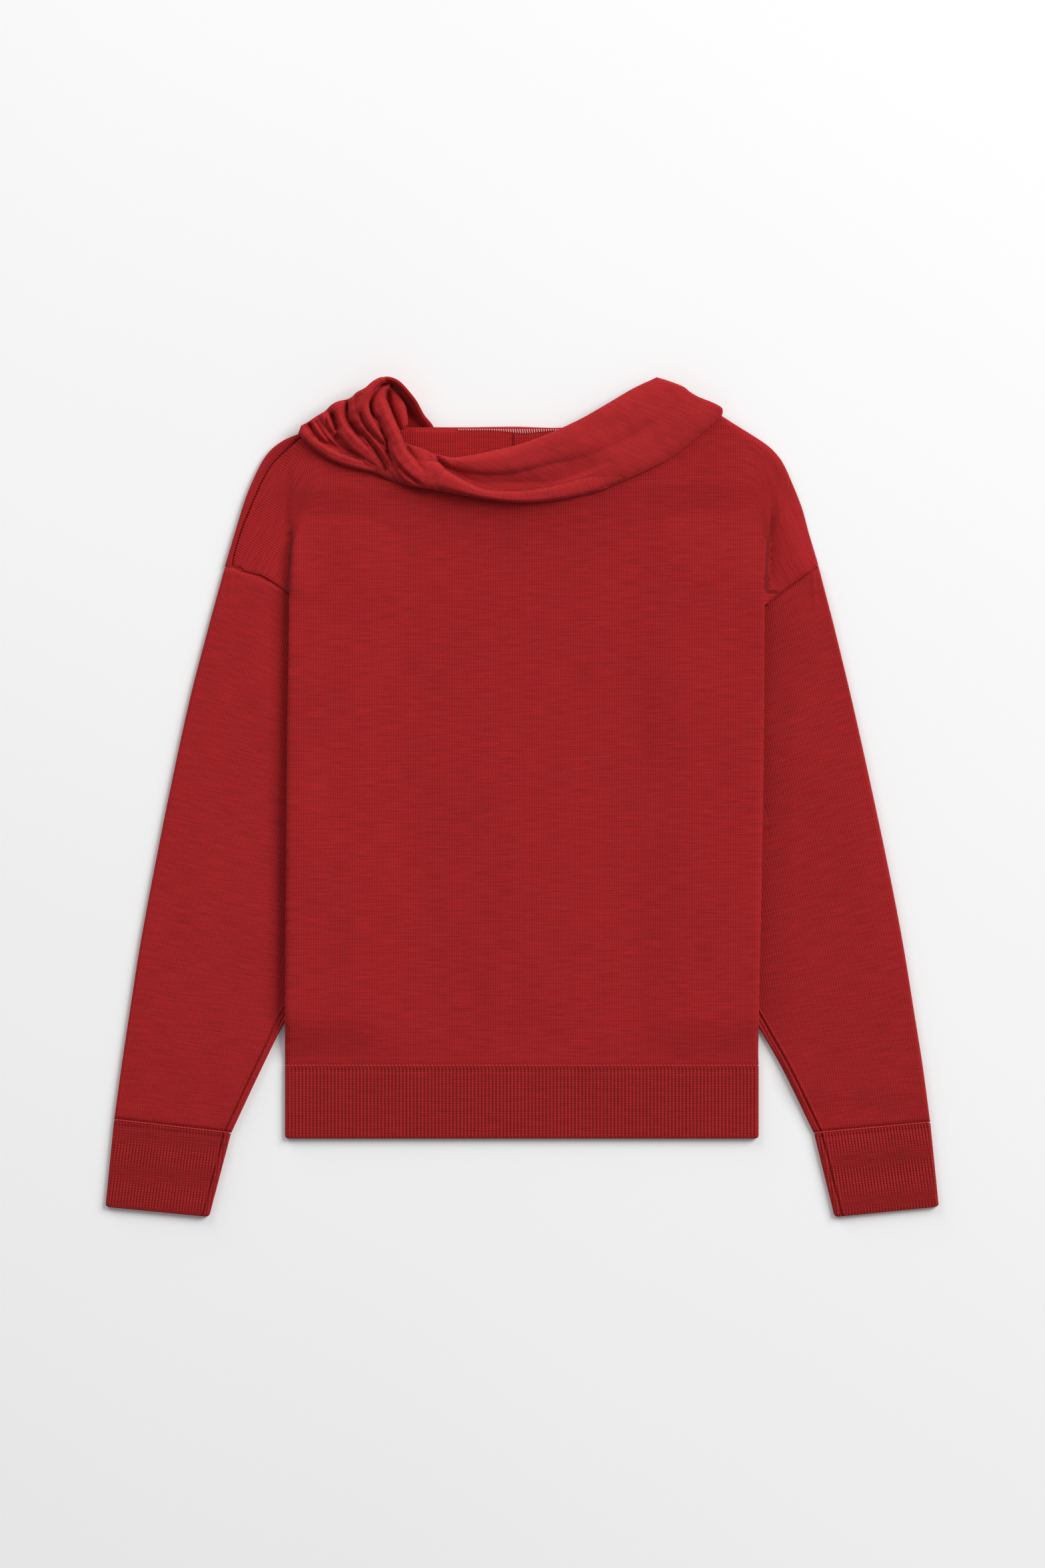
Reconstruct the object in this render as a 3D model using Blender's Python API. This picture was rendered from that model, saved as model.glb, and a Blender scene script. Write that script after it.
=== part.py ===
"""A fine-knit pullover with a draped collar twisted on the right shoulder, laid flat face up.

The garment lies on z = 0 with its hem towards -Y and its collar towards +Y. Sides are the wearer's: the
right sleeve is at -X. From the surface upwards come the sleeves and the collar's back, the back panel, the
front panel and the neck band, and then the collar's front with its twist. Tables are in millimetres.
"""

import math

import bmesh
import bpy
from mathutils import Vector
from mathutils.geometry import delaunay_2d_cdt, tessellate_polygon

MM = 0.001

# Cloth
WALL = 1.9  # one layer of knit with its loft
GAP = 0.4  # air between two layers, and at a seam
LAYER = 2 * WALL + GAP  # a flattened tube
STEP = LAYER + GAP  # how far a panel climbs on a tube that lies under it
EDGE = 1.3  # rounding of a panel's edge
PANEL_FACES = (28, 19)  # how far apart a panel's points are, inside it and along its edge
COLLAR_FACES = (8, 8)
TWIST_FACES = (5, 5)
LEAST_COLLAR = 3.0  # the collar where no roll is raised on it

# Body
HEM_Y = -281.9
RIB_TOP_Y = -221.8
HALF_BODY = 195.5
TUCK = 155.0  # |x| of the sleeves' inner edge, hidden under the body
UNDERARM = {-1: (-193.6, 169.1), 1: (201.9, 159.2)}

# Ribs, as pitch and as height over the groove
HEM_RIB_PITCH = 2.96
CUFF_RIB_PITCH = 2.55
NECK_RIB_PITCH = 1.95
RIB_HEIGHT = 0.6
NECK_BAND = 1.6  # its thickness at a rib

# Knit colours, sRGB
BODY_RED = (0.604, 0.137, 0.145)
SLEEVE_RED = (0.612, 0.141, 0.149)
RIB_RED = (0.537, 0.127, 0.127)
COLLAR_RED = (0.631, 0.149, 0.157)

# Edges of the panels, as (x, y) along each line
SHOULDER_SEAM = ((-238.7, 190.6), (-237.1, 200.5), (-231.6, 219.2), (-223.3, 240.1), (-212.9, 263.2),
                 (-201.9, 279.1), (-182.1, 296.7))
BACK_SHOULDER = ((-245.3, 190.0), (-240.4, 206.5), (-233.8, 228.5), (-226.6, 250.5), (-216.7, 272.5),
                 (-207.9, 285.7), (-196.4, 294.5), (-182.0, 300.5))
BACK_NECK = ((-144.7, 303.5), (-100.7, 305.0), (-45.7, 305.0), (-7.2, 305.5), (38.5, 305.0), (86.4, 312.1),
             (124.9, 317.5), (160.0, 315.4))
FRONT_NECK = ((-155.7, 294.5), (-122.7, 278.0), (-89.7, 265.9), (-45.7, 258.8), (3.9, 254.9), (64.4, 265.9),
              (119.4, 291.0), (152.4, 308.0), (160.0, 315.4))
LEFT_SHOULDER = ((165.0, 314.4), (175.5, 307.7), (189.8, 298.9), (203.0, 290.1), (211.8, 281.3), (217.3, 272.5),
                 (222.2, 261.5), (231.0, 239.5), (237.1, 217.5), (243.7, 195.5), (244.8, 191.7))
RIGHT_ARMHOLE = ((-199.1, 173.0), (-206.3, 177.9), (-215.6, 182.9), (-229.4, 186.2), (-238.7, 190.6))
LEFT_ARMHOLE = ((239.3, 186.2), (234.9, 184.5), (219.5, 173.0))
RIGHT_FOLD = ((-193.6, 169.1), (-192.5, 179.0), (-190.9, 201.0), (-188.7, 228.5), (-185.9, 250.5),
              (-183.2, 272.5))
LEFT_FOLD = ((201.9, 159.2), (201.9, 184.5), (203.5, 217.5), (205.7, 250.5), (208.0, 264.3))

# How the panels come down from what lies under them
FOLD_HALF = 1.5  # half the width of the drop from the body to the shoulder cap
SIDE_RAMP = 56.0  # inwards from a sleeve
CLEAR_OF_TUCK = 14.0  # how far inwards of the sleeve's hidden edge a panel is still at its full height
SHOULDER_RAMP = (175.0, 105.0)  # y where the sleeve starts to run out, and over what length
HEM_RAMP = 29.0  # above the hem rib
COLLAR_BACK_RAMP = (180.0, 52.0)  # y where the folded collar starts, and over what length
COLLAR_BACK_SIDES = (168.0, 47.0)  # |x| where it runs out, and over what length
NECK_STEP = (1.2, 2.8)  # beyond the back panel's edge, where the collar comes down to the surface

# Sleeve sections from shoulder to cuff: (x, y) of the outer edge, then of the inner edge
RIGHT_SLEEVE = (
    ((-258.0, 143.0), (-TUCK, 112.0)),
    ((-274.3, 80.0), (-TUCK, 50.0)),
    ((-290.6, 5.0), (-TUCK, -20.0)),
    ((-305.2, -68.5), (-158.0, -92.0)),
    ((-315.6, -125.0), (-172.0, -145.0)),
    ((-323.4, -175.0), (-195.8, -185.6)),
    ((-330.2, -220.0), (-217.0, -228.5)),
    ((-336.6, -266.1), (-239.8, -277.1)),
)
LEFT_SLEEVE = (
    ((257.3, 143.0), (TUCK, 104.0)),
    ((272.5, 80.0), (TUCK, 50.0)),
    ((289.2, 5.0), (TUCK, -20.0)),
    ((304.7, -68.5), (158.0, -92.0)),
    ((315.4, -125.0), (172.0, -147.0)),
    ((324.0, -178.0), (195.8, -190.0)),
    ((331.0, -222.0), (216.0, -226.0)),
    ((337.2, -268.3), (240.9, -277.1)),
)
RIGHT_CUFF = (((-336.7, -266.9), (-240.2, -277.9)), ((-343.8, -338.2), (-258.2, -346.6)))
LEFT_CUFF = (((337.3, -269.1), (241.3, -277.9)), ((344.3, -338.0), (258.2, -346.6)))

# Collar rolls as stations of (x, y, half width, height of the crest above the surface)
LOWER_ROLL = ((-76, 266, 12.5, 20.5), (-46, 256.5, 7.6, 18.5), (-24, 250.5, 6.5, 17.5),
              (2, 249.5, 6.3, 17), (30, 252, 7.5, 16.5), (60, 261, 10, 16), (112, 288, 12, 15.5),
              (150, 312, 10, 14.5))
UPPER_ROLL = ((-70, 281, 4, 15), (-46, 270.5, 8.5, 18), (-8, 270, 15, 18.5), (42, 285, 19, 18),
              (88, 309, 20, 17), (126, 331, 17, 15.5))
BAND_ROLL = ((-70, 268, 18, 14), (-8, 264, 22, 14), (50, 278, 26, 15), (98, 302, 28, 15.5),
             (138, 325, 22, 14.5))
TWIST_ROLLS = {
    "A": ((-181, 304, 6, 15), (-176.5, 298.5, 5.5, 16), (-169.5, 291, 4.8, 16), (-159, 284, 4.5, 15.5),
          (-148, 279, 4.3, 15), (-136, 275.5, 4.2, 14.5), (-124, 271.5, 3.8, 14), (-115, 267, 3, 13)),
    "B": ((-171, 309, 8, 17), (-165.5, 300, 8, 17), (-158, 292.5, 5.5, 15.5), (-149, 287, 4, 14.5),
          (-141, 283.8, 3, 14), (-134, 281, 2.5, 13.5)),
    "C": ((-162, 314, 6, 18.5), (-158, 307, 5, 18), (-155, 301, 4, 16.5)),
    "D": ((-150, 321, 8, 20), (-147, 312, 7.5, 20), (-144, 302, 7, 19.5), (-137, 292.5, 6.2, 18.5),
          (-128, 284.5, 5.5, 17.5), (-119, 277, 4.8, 16), (-113, 270.5, 4, 14.5)),
    "E": ((-139, 323, 6, 21), (-136, 312, 5.5, 20.5), (-129, 302.5, 4.8, 20), (-121.5, 292.5, 4.6, 19),
          (-114.5, 283, 4.6, 18), (-107, 273, 5.5, 16.5), (-99, 265, 6, 15), (-90, 260, 5.5, 14),
          (-78, 257, 4.5, 13)),
    "F": ((-119, 339.5, 7, 22), (-129, 333, 9, 23), (-130, 323, 7.5, 23), (-126, 312, 5.5, 22.5),
          (-119.5, 302, 4.8, 21.5), (-114, 293, 3.6, 20.5), (-110, 286, 2.2, 19)),
    "G": ((-113.5, 340, 4, 22.5), (-118, 333.5, 5.5, 24.5), (-118, 325, 6.8, 25.5), (-114, 314, 7.5, 25.5),
          (-109.5, 305.5, 7.2, 25), (-104.5, 294.5, 7, 24), (-101.5, 285, 7.5, 23), (-96, 276, 8.5, 22),
          (-88, 268.5, 10.5, 21), (-74, 266, 12.5, 20.5)),
    "inner fold": ((-107, 335, 4.5, 16), (-103, 326, 6, 17), (-100, 316, 6.5, 17), (-98.5, 305, 6, 16)),
    "core": ((-176, 301, 13, 12.5), (-150, 297, 21, 14), (-124, 302, 30, 17), (-108, 290, 24, 17),
             (-78, 268, 14, 16)),
}
# The creases between those rolls, as (x, y) from the gathered end to the open one
TWIST_CREASES = {
    "A and B": ((-174.5, 303), (-168.6, 293.7), (-160.3, 287.8), (-149.5, 283), (-140, 280), (-130, 277)),
    "B and D": ((-157.5, 303), (-153.1, 295.5), (-147.2, 290.1), (-135, 282.4), (-126, 277)),
    "C and D": ((-158, 317), (-152.5, 309.5), (-151.9, 301), (-150.5, 295)),
    "D and E": ((-144, 325), (-143, 313.3), (-130.4, 294.5), (-117.2, 280.2), (-110.5, 268)),
    "E and F": ((-134, 317), (-128, 309.2), (-123.3, 299.7), (-116.2, 290.7), (-110, 282)),
    "F and G": ((-121, 336), (-125.1, 325), (-122.1, 312.8), (-116.2, 304.4), (-111.4, 293.7), (-108.5, 283)),
    "E and G": ((-106.5, 277), (-98.2, 267.5), (-88, 260.5)),
    "G and inner fold": ((-112, 334), (-111, 325.9), (-106.6, 316.4), (-103, 306.8)),
}


def smooth(t):
    t = min(max(t, 0.0), 1.0)
    return t * t * (3 - 2 * t)


def line_x(line, y):
    """x of a line that rises in y, at the height y."""
    if y <= line[0][1]:
        return line[0][0]
    for (x0, y0), (x1, y1) in zip(line, line[1:]):
        if y <= y1:
            return x0 + (x1 - x0) * (y - y0) / (y1 - y0)
    return line[-1][0]


def lift(x, y):
    """How far the back panel lies above the surface, over the sleeves and over the collar's back."""
    side = -1 if x < 0 else 1
    fold = line_x(RIGHT_FOLD if side < 0 else LEFT_FOLD, y)
    inboard = smooth((side * (fold - x) + FOLD_HALF) / (2 * FOLD_HALF)) if y > UNDERARM[side][1] - 2 else 1.0
    inwards = smooth((abs(x) - (TUCK - CLEAR_OF_TUCK - SIDE_RAMP)) / SIDE_RAMP)
    upwards = 1 - smooth((y - SHOULDER_RAMP[0]) / SHOULDER_RAMP[1])
    downwards = smooth((y - RIB_TOP_Y) / HEM_RAMP)
    over_sleeve = inboard * inwards * upwards * downwards
    over_collar = smooth((y - COLLAR_BACK_RAMP[0]) / COLLAR_BACK_RAMP[1])
    over_collar *= 1 - smooth((abs(x) - COLLAR_BACK_SIDES[0]) / COLLAR_BACK_SIDES[1])
    return STEP * max(over_sleeve, over_collar)


def spread(line, step):
    """The line's points, with more between them so that none are further apart than step."""
    points = [line[0]]
    for (x0, y0), (x1, y1) in zip(line, line[1:]):
        count = max(1, math.ceil(math.hypot(x1 - x0, y1 - y0) / step))
        points += [(x0 + (x1 - x0) * i / count, y0 + (y1 - y0) * i / count) for i in range(1, count + 1)]
    return points


def offset(line, distance, closed=False):
    """The line moved to its left by distance."""
    moved = []
    for i, (x, y) in enumerate(line):
        before = line[i - 1] if closed or i else line[0]
        after = line[(i + 1) % len(line)] if closed else line[min(i + 1, len(line) - 1)]
        a = Vector((x - before[0], y - before[1]))
        b = Vector((after[0] - x, after[1] - y))
        across = Vector((0.0, 0.0))
        for part in (a, b):
            if part.length > 1e-6:
                across += Vector((-part.y, part.x)).normalized()
        across = across.normalized() / max(0.6, across.length / 2 if a.length and b.length else 1)
        moved.append((x + across.x * distance, y + across.y * distance))
    return moved


def nearest(line, x, y):
    """Distance to a line, the place along it as an index with a fraction, and the side, 1 on its left."""
    best = (1e9, 0.0, 1)
    for i, (a, b) in enumerate(zip(line, line[1:])):
        dx, dy = b[0] - a[0], b[1] - a[1]
        t = min(max(((x - a[0]) * dx + (y - a[1]) * dy) / (dx * dx + dy * dy), 0.0), 1.0)
        away = math.hypot(x - a[0] - t * dx, y - a[1] - t * dy)
        if away < best[0]:
            best = (away, i + t, 1 if dx * (y - a[1]) - dy * (x - a[0]) > 0 else -1)
    return best


def inside(outline, x, y):
    odd = False
    for (x0, y0), (x1, y1) in zip(outline, outline[1:] + outline[:1]):
        if (y0 > y) != (y1 > y) and x < x0 + (x1 - x0) * (y - y0) / (y1 - y0):
            odd = not odd
    return odd


def material(name, colour, roughness=0.9):
    linear = [((c + 0.055) / 1.055) ** 2.4 for c in colour]
    knit = bpy.data.materials.new(name)
    knit.use_nodes = True
    shader = knit.node_tree.nodes["Principled BSDF"]
    shader.inputs["Base Color"].default_value = (*linear, 1.0)
    shader.inputs["Roughness"].default_value = roughness
    shader.inputs["Metallic"].default_value = 0.0
    knit.diffuse_color = (*linear, 1.0)
    return knit


def piece(name, vertices, faces, colour):
    """A named object from points in millimetres, with its origin under its middle."""
    spans = [(min(v[i] for v in vertices), max(v[i] for v in vertices)) for i in range(3)]
    origin = Vector(((spans[0][0] + spans[0][1]) / 2, (spans[1][0] + spans[1][1]) / 2, spans[2][0]))
    bm = bmesh.new()
    points = [bm.verts.new((Vector(v) - origin) * MM) for v in vertices]
    for face in faces:
        bm.faces.new([points[i] for i in face])
    bmesh.ops.recalc_face_normals(bm, faces=bm.faces)
    mesh = bpy.data.meshes.new(name)
    bm.to_mesh(mesh)
    bm.free()
    mesh.materials.append(material(f"{name} knit", colour))
    mesh.shade_smooth()
    mesh.set_sharp_from_angle(angle=math.radians(40))
    thing = bpy.data.objects.new(name, mesh)
    thing.location = origin * MM
    thing.parent = bpy.data.objects["pullover_origin"]
    bpy.data.collections["pullover"].objects.link(thing)
    return thing


def sheet(name, outline, top, bottom, colour, spacing, edge_step, rounding, guides=()):
    """A closed piece between two heights over a flat outline that runs anticlockwise.

    rounding is (inset, drop of the top, rise of the bottom) at the outline. guides are lines that the
    faces keep to.
    """
    inset, drop, rise = rounding
    rim = spread(list(outline) + [outline[0]], edge_step)[:-1]
    ring = offset(rim, inset, closed=True)
    ring = [p for p in ring if inside(rim, *p) and nearest(rim + rim[:1], *p)[0] > 0.8 * inset]
    flat = rim + ring
    edges = []
    for guide in guides:
        start = len(flat)
        flat += guide
        edges += [(start + i, start + i + 1) for i in range(len(guide) - 1)]
    fixed = [rim + rim[:1], *guides]
    low, high = (min(p[1] for p in rim), max(p[1] for p in rim))
    left, right = (min(p[0] for p in rim), max(p[0] for p in rim))
    row_height = spacing * math.sqrt(3) / 2
    for row in range(math.ceil(low / row_height), math.floor(high / row_height) + 1):
        for column in range(math.floor(left / spacing), math.ceil(right / spacing) + 1):
            x, y = (column + row % 2 / 2) * spacing, row * row_height
            if inside(rim, x, y) and min(nearest(line, x, y)[0] for line in fixed) > 0.45 * spacing:
                flat.append((x, y))
    found = delaunay_2d_cdt([Vector(p) for p in flat], edges, [list(range(len(rim)))], 1, 1e-5)
    spots, _, triangles, origins = found[0], found[1], found[2], found[3]
    on_rim = [any(i < len(rim) for i in source) for source in origins]
    upper, lower = [], []
    for spot, edge in zip(spots, on_rim):
        ceiling, floor = top(spot.x, spot.y), bottom(spot.x, spot.y)
        upper.append((spot.x, spot.y, ceiling - (drop if edge else 0)))
        lower.append((spot.x, spot.y, floor + (rise if edge else 0)))
    count = len(spots)
    faces = [list(t) for t in triangles] + [[i + count for i in reversed(t)] for t in triangles]
    used = {(t[i], t[(i + 1) % 3]) for t in triangles for i in range(3)}
    faces += [[b, a, a + count, b + count] for a, b in used if (b, a) not in used]
    return piece(name, upper + lower, faces, colour)


def along(line, share, shift):
    """The point at a share of a line's length, moved shift further along it."""
    lengths = [math.dist(a, b) for a, b in zip(line, line[1:])]
    want = share * sum(lengths) + shift
    for (a, b), length in zip(zip(line, line[1:]), lengths):
        if want <= length:
            break
        want -= length
    else:
        want += length
    return [a[i] + (b[i] - a[i]) * want / length for i in (0, 1)]


def tube_ring(inset, marks, heights, plain, half, bend):
    """A flattened ring as (share, shift, z), its upper points at marks and its lower ones at plain.

    inset is how far it starts from the section's ends, half is half its height and bend the length of
    its rounded ends.
    """
    middle = LAYER / 2
    corner, rise = inset + bend * (1 - math.sqrt(0.5)), half * math.sqrt(0.5)
    upper = [(share, 0.0, z) for share, z in zip(marks, heights)]
    lower = [(share, 0.0, middle - half) for share in reversed(plain)]
    start, end = (0, corner, middle + rise), (1, -corner, middle + rise)
    back_end, back_start = (1, -corner, middle - rise), (0, corner, middle - rise)
    return [(0, inset, middle), start, *upper, end, (1, -inset, middle), back_end, *lower, back_start]


def corner_shares(line):
    """The shares of a line's length at which its own corners lie."""
    lengths = [math.dist(a, b) for a, b in zip(line, line[1:])]
    return [sum(lengths[:i]) / sum(lengths) for i in range(1, len(lengths))]


def tube(name, sections, colour, ribs=0):
    """A flattened tube of knit, open at both ends, with ribs raised on its upper side."""
    middle = LAYER / 2
    plain = corner_shares(sections[0]) or [0.25, 0.5, 0.75]
    if ribs:
        marks = [(i + 1) / (2 * ribs + 2) for i in range(2 * ribs + 1)]
        heights = [LAYER + (RIB_HEIGHT / 2 if i % 2 else -RIB_HEIGHT / 2) for i in range(2 * ribs + 1)]
    else:
        marks = plain
        heights = [LAYER] * len(plain)
    outer = tube_ring(0.0, marks, heights, plain, middle, middle)
    inner = tube_ring(WALL, plain, [middle + GAP / 2] * len(plain), plain, GAP / 2, GAP)
    vertices, faces = [], []
    for line in sections:
        for share, shift, z in outer + inner:
            vertices.append((*along(line, share, shift), z))
    total = len(outer) + len(inner)
    for s in range(len(sections) - 1):
        here, there = s * total, (s + 1) * total
        for first, size in ((0, len(outer)), (len(outer), len(inner))):
            for i in range(size):
                a, b = first + i, first + (i + 1) % size
                faces.append([here + a, here + b, there + b, there + a])
    if ribs:
        length = math.dist(sections[0][0], sections[0][-1])
        rings = (outer, inner)
        loops = [[Vector((share * length + shift, z, 0)) for share, shift, z in ring] for ring in rings]
        end_faces = tessellate_polygon(loops)
    else:
        size = len(outer)
        end_faces = [[i, (i + 1) % size, size + (i + 1) % size, size + i] for i in range(size)]
    for start in (0, (len(sections) - 1) * total):
        faces += [[start + i for i in corner] for corner in end_faces]
    return piece(name, vertices, faces, colour)


def roll_top(rolls, base):
    """The height of rounded rolls that lie on base, each an ellipse swept along its stations."""
    lines = [([(x, y) for x, y, _, _ in roll], roll) for roll in rolls]

    def top(x, y):
        height = base(x, y) + 1.2
        for line, roll in lines:
            away, place, _ = nearest(line, x, y)
            i = min(int(place), len(roll) - 2)
            half, crest = (roll[i][k] + (roll[i + 1][k] - roll[i][k]) * (place - i) for k in (2, 3))
            if away < half:
                height = max(height, base(x, y) + (crest - base(x, y)) * math.sqrt(1 - (away / half) ** 2))
        return height

    return top


def body_outline(shoulder, neck, right_armhole):
    right, left = UNDERARM[-1], UNDERARM[1]
    return (
        [(-HALF_BODY, RIB_TOP_Y + GAP), (HALF_BODY, RIB_TOP_Y + GAP), (HALF_BODY, -190), (199.1, -2.5)]
        + [(left[0] - FOLD_HALF, left[1] - 1.2), (left[0] + FOLD_HALF, left[1] + 1.2)]
        + [*reversed(LEFT_ARMHOLE), *reversed(LEFT_SHOULDER), *reversed(neck), *reversed(shoulder)]
        + [*right_armhole, (right[0] - FOLD_HALF, right[1] + 1.1), (right[0] + FOLD_HALF, right[1] - 1.5)]
        + [(-194.2, -2.5), (-HALF_BODY, -186.7)]
    )


def fold_guides():
    """Where the body drops to the shoulder caps: the top and the foot of each drop."""
    guides = []
    for line in (RIGHT_FOLD, LEFT_FOLD):
        guides += [spread([(x + shift, y) for x, y in line[1:]], 18) for shift in (-FOLD_HALF, FOLD_HALF)]
    return guides


def make_front():
    outline = body_outline(SHOULDER_SEAM, FRONT_NECK, tuple(reversed(RIGHT_ARMHOLE[:-1])))
    return sheet(
        "front",
        outline,
        lambda x, y: lift(x, y) + LAYER,
        lambda x, y: lift(x, y) + WALL + GAP,
        BODY_RED,
        *PANEL_FACES,
        (EDGE, 1.1, 0),
        fold_guides(),
    )


def make_back():
    """The back panel, which comes round to the front along the right shoulder as far as the seam."""
    outline = body_outline(BACK_SHOULDER, BACK_NECK, tuple(reversed(RIGHT_ARMHOLE)))
    seam = [(-240.0, 184.0), *SHOULDER_SEAM, (-175.0, 303.0)]
    foot, head = offset(seam, 0.5), offset(seam, 0.9)

    def top(x, y):
        away, _, side = nearest(seam, x, y)
        wrapped = side > 0 and away > 0.7 and x < -170
        return lift(x, y) + (LAYER if wrapped else WALL)

    return sheet(
        "back",
        outline,
        top,
        lift,
        BODY_RED,
        *PANEL_FACES,
        (EDGE, 0.5, 1.1),
        [*fold_guides(), spread(foot, 18), spread(head, 18)],
    )


def make_sleeves():
    """Each sleeve starts along its armhole seam and runs on under the body's edge."""
    right_seam = [(-245.3, 189.3), (-238.7, 189.8), (-229.4, 185.6), (-215.6, 182.2), (-206.3, 177.2)]
    right_seam += [(-199.1, 172.3), (-193.6, 168.2), (-TUCK, 150.0)]
    left_seam = [(244.8, 190.9), (239.5, 185.5), (235.2, 183.8), (219.9, 172.3), (204.9, 160.2), (201.9, 157.9)]
    left_seam += [(TUCK, 132.0)]
    tube("sleeve_right", [right_seam, *RIGHT_SLEEVE], SLEEVE_RED)
    tube("sleeve_left", [left_seam, *LEFT_SLEEVE], SLEEVE_RED)


def make_ribs():
    for name, ends in (("cuff_right", RIGHT_CUFF), ("cuff_left", LEFT_CUFF)):
        tube(name, ends, RIB_RED, ribs=round(math.dist(*ends[1]) / CUFF_RIB_PITCH))
    hem = [((-HALF_BODY, y), (HALF_BODY, y)) for y in (RIB_TOP_Y, HEM_Y)]
    tube("hem_rib", hem, RIB_RED, ribs=round(2 * HALF_BODY / HEM_RIB_PITCH))


def make_neck_rib():
    """The ribbed band inside the back neck, with its ribs upright."""
    upper = [(-118, 303), (-45.7, 303.5), (38.5, 303.5), (88, 303.5)]
    lower = [(-118, 281), (-98, 271), (66, 271), (88, 281)]
    base = STEP + WALL + GAP
    count = 2 * round((upper[-1][0] - upper[0][0]) / NECK_RIB_PITCH)
    vertices, faces = [], []
    for line in (lower, upper):
        turned = [(y, x) for x, y in line]
        for i in range(count + 1):
            x = upper[0][0] + (upper[-1][0] - upper[0][0]) * i / count
            vertices.append((x, line_x(turned, x), base + NECK_BAND - (0 if i % 2 else 0.4)))
        vertices += [(x, line_x(turned, x), base) for x in (88, 66, 38.5, -45.7, -98, -118)]
    size = len(vertices) // 2
    faces += [[i, (i + 1) % size, size + (i + 1) % size, size + i] for i in range(size)]
    for start in (0, size):
        loop = [Vector((vertices[start + i][0], vertices[start + i][2], 0)) for i in range(size)]
        faces += [[start + i for i in corner] for corner in tessellate_polygon([loop])]
    return piece("neck_rib", vertices, faces, RIB_RED)


def on_body(x, y):
    """The underside of what lies on the front panel, a little clear of it."""
    return lift(x, y) + LAYER + GAP + 0.1


def past_neck(x, y):
    """How far a point lies beyond the back panel's upper edge, negative on the panel."""
    away, _, side = nearest([BACK_SHOULDER[-2], BACK_SHOULDER[-1], *BACK_NECK, *LEFT_SHOULDER[:3]], x, y)
    return away * side


def neck_guides(first, last):
    """The top and the foot of the step at the back panel's upper edge, between two values of x."""
    edge = [BACK_SHOULDER[-2], BACK_SHOULDER[-1], *BACK_NECK, *LEFT_SHOULDER[:3]]
    guides = []
    for distance in NECK_STEP:
        moved = spread(offset(edge, distance), 5)
        guides.append([p for p in moved if first < p[0] < last])
    return guides


def make_collar_front():
    """The doubled band in two long rolls, folded over at the left shoulder."""
    lower = [(-73.8, 254.0), (-45.7, 248.9), (-20, 245), (3.9, 243.4), (34, 246), (64.4, 253.3), (119.4, 278)]
    end = [(164.5, 313.8), (164.9, 315.8), (165.1, 318.2), (165.0, 321.5), (141.4, 333.0), (124.9, 340.7)]
    upper = [(111.1, 346.0), (92, 337), (70, 324), (50, 312.5), (43, 309), (38.5, 306.3), (31.4, 302.8)]
    upper += [(10, 292.5), (-12.7, 284.6), (-45.7, 278), (-62.7, 280.8), (-73.8, 283.5)]

    def bottom(x, y):
        return on_body(x, y) if past_neck(x, y) < sum(NECK_STEP) / 2 else STEP + 0.2

    rolls = roll_top((LOWER_ROLL, UPPER_ROLL, BAND_ROLL), on_body)
    return sheet(
        "collar_front",
        lower + end + upper,
        lambda x, y: max(rolls(x, y), on_body(x, y) + LEAST_COLLAR),
        bottom,
        COLLAR_RED,
        *COLLAR_FACES,
        (1.8, 2.0, 0),
        [spread([(x, y) for x, y, _, _ in LOWER_ROLL[1:-1]], 9), *neck_guides(43, 163)],
    )


def make_collar_twist():
    """The gathered cloth on the right shoulder: one rounded solid, its layers raised as rolls."""
    lower = [(-184.6, 299.8), (-181.8, 296.1), (-175.8, 290.1), (-167.4, 283.6), (-156.7, 277), (-146, 272.9)]
    lower += [(-132.8, 269.3), (-123.3, 267.5), (-109, 261.5), (-98.2, 257.9), (-86.4, 255.3), (-74.3, 253.8)]
    right = [(-74.3, 283.8), (-80.3, 286.8), (-95.7, 291.8), (-98.2, 296.1), (-100, 301), (-94.2, 307.2)]
    right += [(-94.1, 312.8), (-95.9, 322.4), (-100.7, 330.7), (-105.4, 337.3), (-110, 341.5)]
    upper = [(-112.5, 346), (-117.3, 345.4), (-123.3, 342), (-129.2, 336.9), (-136.4, 333.2), (-141.2, 328.9)]
    upper += [(-151.9, 325.9), (-158.5, 322), (-162.7, 317.8), (-169.8, 313.6), (-175.8, 309.4)]
    upper += [(-181.8, 306.4)]

    def bottom(x, y):
        return on_body(x, y) if past_neck(x, y) < sum(NECK_STEP) / 2 else 0.0

    rolls = roll_top(list(TWIST_ROLLS.values()), on_body)
    crests = [spread([(x, y) for x, y, _, _ in TWIST_ROLLS[key][1:-1]], 6) for key in "ABDEFG"]
    creases = [spread(line, 6) for line in TWIST_CREASES.values()]
    return sheet(
        "collar_twist",
        lower + right + upper,
        lambda x, y: max(rolls(x, y), on_body(x, y) + LEAST_COLLAR),
        bottom,
        COLLAR_RED,
        *TWIST_FACES,
        (1.6, 1.8, 0.3),
        [*crests, *creases, *neck_guides(-178, -96)],
    )


def make_collar_loop():
    """The loop that goes round to the back: its far side leans outwards and shows its inner face."""
    outer = [(-73.9, 307.6), (-80.4, 315.2), (-86.3, 325.9), (-92.3, 333.7), (-99.4, 341.4), (-105.4, 345)]
    outer += [(-111.8, 346.4)]
    inner = [(-109.4, 342.2), (-104.8, 338), (-100, 331.3), (-95.2, 322.7), (-93.4, 313), (-93.4, 307.6)]

    crest, fall = 14, 9

    def top(x, y):
        away = nearest(outer, x, y)[0]
        return crest - fall * smooth((away - 3) / 6)

    return sheet("collar_loop", outer + inner, top, lambda x, y: 0.0, COLLAR_RED, 5, 6, (1.5, 1.2, 1.0))


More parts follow.
